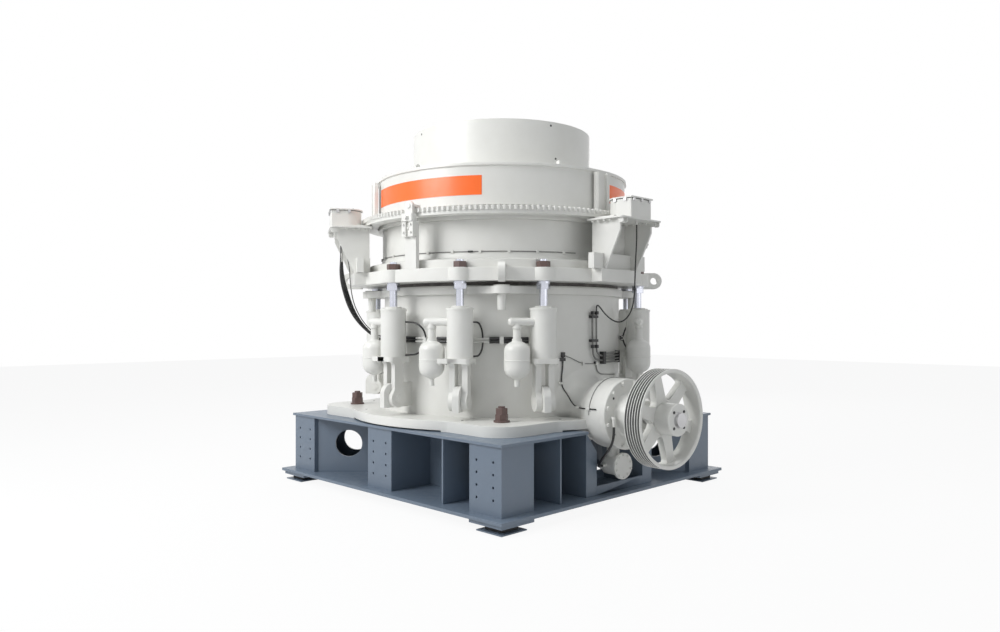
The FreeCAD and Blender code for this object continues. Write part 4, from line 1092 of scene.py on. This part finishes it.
def draw_wheel(bm):
    """Grooved rim, tapered spokes set back in it and a hub that stands out."""
    place = axis_x(0, SHAFT_Z)
    inner, land, floor = 0.414, 0.0033, SHEAVE_R - 0.021
    profile = [(SHEAVE_BACK, inner), (SHEAVE_BACK, SHEAVE_R)]
    for k in range(GROOVES):
        x = GROOVE_START + k * GROOVE_PITCH
        middle = x + GROOVE_PITCH / 2
        profile += [(x + land, SHEAVE_R), (middle - GROOVE_FLOOR_HALF, floor),
                    (middle + GROOVE_FLOOR_HALF, floor), (x + GROOVE_PITCH - land, SHEAVE_R)]
    profile += [(SHEAVE_FACE, SHEAVE_R), (SHEAVE_FACE, inner + 0.008), (SHEAVE_FACE - 0.010, inner)]
    revolved(bm, profile, place, 120)
    back, front = 2.212, 2.284
    revolved(bm, [(back - 0.012, SHAFT_HOLE), (back - 0.012, 0.146), (HUB_FACE, 0.146, 0.008),
                  (HUB_FACE, SHAFT_HOLE)], place, 64)
    for k in range(SPOKES):
        before = len(bm.verts)
        root, tip = 0.064, 0.049
        outline = [(-root - 0.03, 0.120), (root + 0.03, 0.120), (root, 0.172, 0.03), (tip, 0.385, 0.03),
                   (tip + 0.030, 0.420), (-tip - 0.030, 0.420), (-tip, 0.385, 0.03), (-root, 0.172, 0.03)]
        extruded(bm, outline, back, front, facing_out)
        bm.verts.ensure_lookup_table()
        turn = Matrix.Rotation(math.radians(360 / SPOKES * k + 14), 3, "X")
        bmesh.ops.rotate(bm, verts=bm.verts[before:], matrix=turn)
        bmesh.ops.translate(bm, verts=bm.verts[before:], vec=(0, 0, SHAFT_Z))


def draw_groove_shade_rings(bm):
    """Painted shade on the flanks and floor of each belt groove, as thin dark rings in the rim."""
    land, wall, half = 0.0036, 0.0012, GROOVE_FLOOR_HALF
    top, floor = SHEAVE_R - wall, SHEAVE_R - 0.0206
    for k in range(GROOVES):
        x = GROOVE_START + k * GROOVE_PITCH
        middle = x + GROOVE_PITCH / 2
        revolved(bm, [(x + land, top), (middle - half, floor), (middle + half, floor),
                      (x + GROOVE_PITCH - land, top), (middle + half - 0.0005, floor + wall),
                      (middle - half + 0.0005, floor + wall)], axis_x(0, SHAFT_Z), 120)


def make_drive():
    formed("tunnel_form", [(draw_tunnel, SHAFT_TURN)], "countershaft_tunnel")
    formed("housing_form", [(draw_housing, SHAFT_TURN)], "countershaft_housing")
    formed("wheel_form", [(draw_wheel, SHAFT_TURN)], "drive_sheave", body=SHAFT_BODY, edge=0.0018)
    # Thin dark rings that paint the shade in the belt grooves
    formed("groove_shade_rings", [(draw_groove_shade_rings, SHAFT_TURN)], "", "grey_tube", SHAFT_BODY, 0)


# Drive boxes, their brackets, the lock brackets and the guides

RING_HUB_Z = 2.270
BOX_HALF = 0.163
BOX_ROUND_AT = 1.723
BOX_OUT = 1.888
BOX_TOP = 2.936
LID = 0.014
LID_OVER = 0.018
TRAY_HALF = 0.325
PAD_TOP = 2.770
GEAR_TOP = 2.851
GUIDE_HEIGHT = 0.395
EYE_ANGLES = (-85, -20, 65, 155)


def box_plan(over):
    """Outline of a box: square outer end, round inner end."""
    half = BOX_HALF + over
    return both_sides([(BOX_OUT + over, -half, 0.010)]) + arc(BOX_ROUND_AT, 0, half, range(90, 271, 9))


def draw_box(bm):
    extruded(bm, box_plan(0), TRAY_TOP, BOX_TOP, flat)


def draw_lid(bm):
    extruded(bm, box_plan(LID_OVER - 0.003), BOX_TOP, BOX_TOP + LID, flat)


def draw_bracket(bm):
    """Tray with its thick pad and ears, two tapered side plates, back plate and low block."""
    outer = 1.904
    extruded(bm, both_sides([(1.482, -TRAY_HALF), (outer, -TRAY_HALF, 0.030)]), TRAY_Z, TRAY_TOP, flat)
    extruded(bm, both_sides([(1.458, -0.268, 0.120), (1.765, -0.268)]), TRAY_Z - 0.001, PAD_TOP, flat)
    step = RING_HUB_Z + 0.155
    side_plate = [(1.492, RING_HUB_Z), (1.658, RING_HUB_Z), (1.830, TRAY_Z - 0.104, 0.022), (1.830, TRAY_Z),
                  (1.499, TRAY_Z), (1.499, step), (1.492, step)]
    for side in (-1, 1):
        y = side * 0.250
        extruded(bm, side_plate, y - 0.011, y + 0.011, upright)
        for cheek in (-0.032, 0.032):
            ear = [(1.832, TRAY_Z), (1.894, TRAY_Z), (1.894, TRAY_Z - 0.046, 0.02),
                   (1.832, TRAY_Z - 0.046, 0.02)]
            extruded(bm, ear, side * 0.262 + cheek - 0.005, side * 0.262 + cheek + 0.005, upright)
    block(bm, (1.499, 1.519), (-0.239, 0.239), (RING_HUB_Z, TRAY_Z))
    block(bm, (1.549, 1.589), (-0.239, 0.239), (RING_HUB_Z, step))
    for low, high in ((-0.412, -0.262), (0.262, 0.412)):
        block(bm, (1.572, 1.640), (low, high), (RING_HUB_Z, RING_HUB_Z + 0.148))


def draw_lock(bm):
    """Plate with rails, collar and a rounded head, whose hook reaches over the drive ring."""
    half, head = 0.070, 0.047
    inner, outer = 1.560, 1.594
    low, collar_low, collar_high, top = 2.576, 2.721, 2.796, 2.919
    block(bm, (1.520, 1.567), (-half, half), (RING_HUB_Z, 2.729))
    block(bm, (inner, outer), (-half, half), (low, collar_high))
    extruded(bm, [(-head, collar_high - 0.01), (head, collar_high - 0.01), (head, top, head - 0.001),
                  (-head, top, head - 0.001)], inner, outer, facing_out)
    rod(bm, axis_x(0, top - head), outer - 0.004, outer + 0.010, 0.024)
    for y in (-half, half - 0.050):
        block(bm, (outer - 0.002, outer + 0.022), (y, y + 0.050), (low, collar_low))
    rod(bm, axis_x(0, 2.655), outer - 0.004, outer + 0.018, 0.010)
    extruded(bm, both_sides([(outer - 0.002, -half), (outer + 0.034, -half, 0.017)]), collar_low, collar_high,
             flat)
    block(bm, (1.472, outer - 0.002), (-head, head), (2.862, 2.888))


def draw_guide(bm):
    """Upright channel whose side bars are bevelled outside."""
    inner, outer, half, bar, bevel = 1.391, 1.444, 0.100, 0.055, 0.014
    web = (inner + outer) / 2
    extruded(bm, both_sides([(inner, -half), (outer - bevel, -half), (outer, bevel - half),
                             (outer, bar - half), (web, bar - half)]),
             GEAR_TOP, GEAR_TOP + GUIDE_HEIGHT, flat)


def draw_cap_eye(bm):
    """Lifting eye on the cap's top: a plate with a round head."""
    at, low, eye, half = 1.306, 3.283, 3.302, 0.034
    extruded(bm, [(at - half, low), (at + half, low)] + arc(at, eye, half, range(0, 181, 15)),
             -0.008, 0.008, upright)


def make_ring_fittings():
    for name, draw, angles, node, edge in (
            ("bracket_forms", draw_bracket, BOX_ANGLES, "drive_brackets", 0.002),
            ("box_forms", draw_box, BOX_ANGLES, "drive_boxes", 0.003),
            ("lid_forms", draw_lid, BOX_ANGLES, "drive_box_lids", 0.002),
            ("lock_forms", draw_lock, LOCK_ANGLES, "lock_brackets", 0.003)):
        formed(name, at_angles(draw, angles), node, body=RING_BODY, edge=edge)
    formed("guide_forms", at_angles(draw_guide, BOX_ANGLES), "guide_channels", body=DRIVE_BODY)
    formed("cap_eyes", at_angles(draw_cap_eye, EYE_ANGLES), body=BOWL_BODY, edge=0.003)


# Pipes of the release circuit, which lie on the barrel

RING_PIPE_Z = (1.569, 1.601)
RING_PIPE_AT = BARREL_R + 0.037
PIPE_R = 0.009
CLAMP_ANGLES = (45, 79, 120, 165, 195, 225, 281, 315)
SUPPLY_X = 1.331
SUPPLY_Y = (-0.049, 0.016)
SUPPLY_BLOCK_Z = (1.335, 1.460)
SUPPLY_END = 23
ON_BARREL = BARREL_R - 0.004

# Angle of each port hose's cylinder, and how far along the barrel the hose meets the ring pipes
PORT_HOSES = ((-90, 0.290), (-60, 0.172), (30, 0.172), (60, 0.190), (150, 0.210), (180, 0.180))

# Height of the upper and lower ports, and where their hoses meet the ring pipes
PORTS = ((1.760, 1.609), (1.435, 1.561))

# Stretches of the ring pipes that lie in thick rubber sleeves, in degrees
SLEEVES = ((-96, -84.5), (-73, -62), (-50, -34), (34, 50), (62, 73), (84.5, 96), (112, 128), (142, 152),
           (172, 188), (202, 214), (228, 238))
SLEEVE_R = 0.0158


def draw_clamp(bm):
    block(bm, (ON_BARREL, RING_PIPE_AT + 0.022), (-0.020, 0.020), (1.550, 1.620))


def slanted(shift):
    """Places along the line on which a box hose comes down to its socket."""
    end, fall, lean = BOX_HOSE[-2], 0.818, 0.575
    return lambda u, p, q: (end[0] - fall * u - lean * q, shift + p, end[2] - lean * u + fall * q)


def draw_hose_block(bm):
    """Block on the ring pipes with three slanted sockets for the hoses of the left box."""
    block(bm, (ON_BARREL, 1.358), (-0.056, 0.056), (1.548, 1.622))
    for shift in (-HOSE_SPACING, 0, HOSE_SPACING):
        rod(bm, slanted(shift), 0, 0.055, 0.0145, 20)


def draw_supply_blocks(bm):
    block(bm, (ON_BARREL, SUPPLY_X + 0.018), (0.112, 0.156), SUPPLY_BLOCK_Z)
    for z in (1.560, 1.800):
        block(bm, (ON_BARREL, SUPPLY_X + 0.014), (-0.067, 0.034), (z, z + 0.027))


def draw_supply_end(bm):
    block(bm, (ON_BARREL, SUPPLY_X + 0.018), (-0.022, 0.022), SUPPLY_BLOCK_Z)


def port_hose(angle, port_z, ring_z, reach):
    """Line of a short hose from a port on the cylinder's inner side to the ring pipes."""
    turn = math.radians(35)
    inward, along = -math.sin(turn), math.cos(turn)
    tip = CYLINDER_R + 0.032
    start = (CYLINDER_AT + tip * inward, tip * along)
    spare, rise = reach - start[1], port_z - ring_z
    line = [(CYLINDER_AT + 0.095 * inward, 0.095 * along, port_z), (start[0], start[1], port_z),
            (start[0] + 0.040 * inward, start[1] + spare * 0.45, port_z - rise * 0.04),
            (RING_PIPE_AT + 0.050, start[1] + spare * 0.85, port_z - rise * 0.25),
            (RING_PIPE_AT + 0.014, reach, port_z - rise * 0.6), (RING_PIPE_AT, reach, ring_z)]
    return [turned(p, angle) for p in line]


def supply_pipes():
    """Two pipes down the barrel that bend into a block, and four that run on from it."""
    pipes = []
    for y, end_z in zip(SUPPLY_Y, (1.372, 1.418)):
        bend = 0.112 - y
        pipes.append(([(SUPPLY_X, y, 1.862), (SUPPLY_X, y, 1.500), (SUPPLY_X, y + bend * 0.15, end_z + 0.028),
                       (SUPPLY_X, y + bend * 0.7, end_z), (SUPPLY_X, 0.118, end_z)], PIPE_R))
    low, high = SUPPLY_BLOCK_Z
    for k in range(4):
        z = low + (high - low) / 4 * (k + 0.5)
        pipes.append((arc_points(SUPPLY_X + 0.006, z, 5.8, SUPPLY_END, 3.0), PIPE_R))
    return pipes


def make_release_pipes():
    piped("ring_pipe_pair", [(arc_points(RING_PIPE_AT, z, 33, 327, 4.0), PIPE_R) for z in RING_PIPE_Z],
          "white_paint")
    piped("ring_pipe_sleeves", [(arc_points(RING_PIPE_AT, z, first, last, 4.0), SLEEVE_R)
                                for z in RING_PIPE_Z for first, last in SLEEVES], "hose_rubber")
    formed("ring_pipe_clamps", at_angles(draw_clamp, CLAMP_ANGLES))
    formed("hose_block", [(draw_hose_block, LEFT_BOX)], finish="dark_pipe")
    piped("supply_pipe_run", supply_pipes(), "grey_tube")
    formed("supply_pipe_blocks", [(draw_supply_blocks, 0), (draw_supply_end, SUPPLY_END)], finish="dark_pipe")
    piped("port_hoses", [(port_hose(angle, port_z, ring_z, reach), PIPE_R)
                         for angle, reach in PORT_HOSES for port_z, ring_z in PORTS], "hose_rubber")


def draw_hose_fittings(bm):
    """Block under the left tray with three pipes and their sleeves."""
    block(bm, (1.730, 1.850), (-0.062, 0.062), (2.657, TRAY_Z))
    low = BOX_HOSE[2][2]
    for shift in (-HOSE_SPACING, 0, HOSE_SPACING):
        for high, radius in ((2.660, 0.0128), (2.490, 0.0138)):
            rod(bm, axis_up(BOX_HOSE[0][0], shift), low, high, radius, 20)
    block(bm, (1.740, 1.788), (-0.062, 0.062), (2.570, 2.586))


def draw_cable_gland(bm):
    rod(bm, axis_up(*BOX_CABLE[0][:2]), 2.700, TRAY_Z, 0.012, 20)


def draw_drain_socket(bm):
    rod(bm, axis_y(DRAIN_HOSE[-1][0], CANISTER_Z), -0.140, -0.070, 0.017, 24)


def make_hose_ends():
    formed("hose_fitting_forms", [(draw_hose_fittings, LEFT_BOX), (draw_cable_gland, 0)],
           body=RING_BODY, edge=0.0015)
    elbow = ((1.840, 0.872), (1.878, 0.872), (1.895, 0.868), (1.895, 0.850), (1.895, 0.792))
    points = [turned((x, DRAIN_HOSE[0][1], z), SHAFT_TURN) for x, z in elbow]
    piped("drain_elbow", [(points, 0.017)])
    formed("drain_socket", [(draw_drain_socket, SHAFT_TURN)])


make_cords()
finish_cad_nodes()
make_barrel_band()
make_corner_ribs()
make_release_units()
make_drive()
make_ring_fittings()
make_release_pipes()
make_hose_ends()
BOLT_TREE = make_bolt_tree()
make_drive_bolts()
make_cylinder_bolts()
make_ring_bolts()
make_ring_line()
make_barrel_cables()
make_pin_rings()
make_hole_shade_discs()
make_box_trim()
make_supply_unions()

bpy.context.scene.view_settings.view_transform = "Standard"
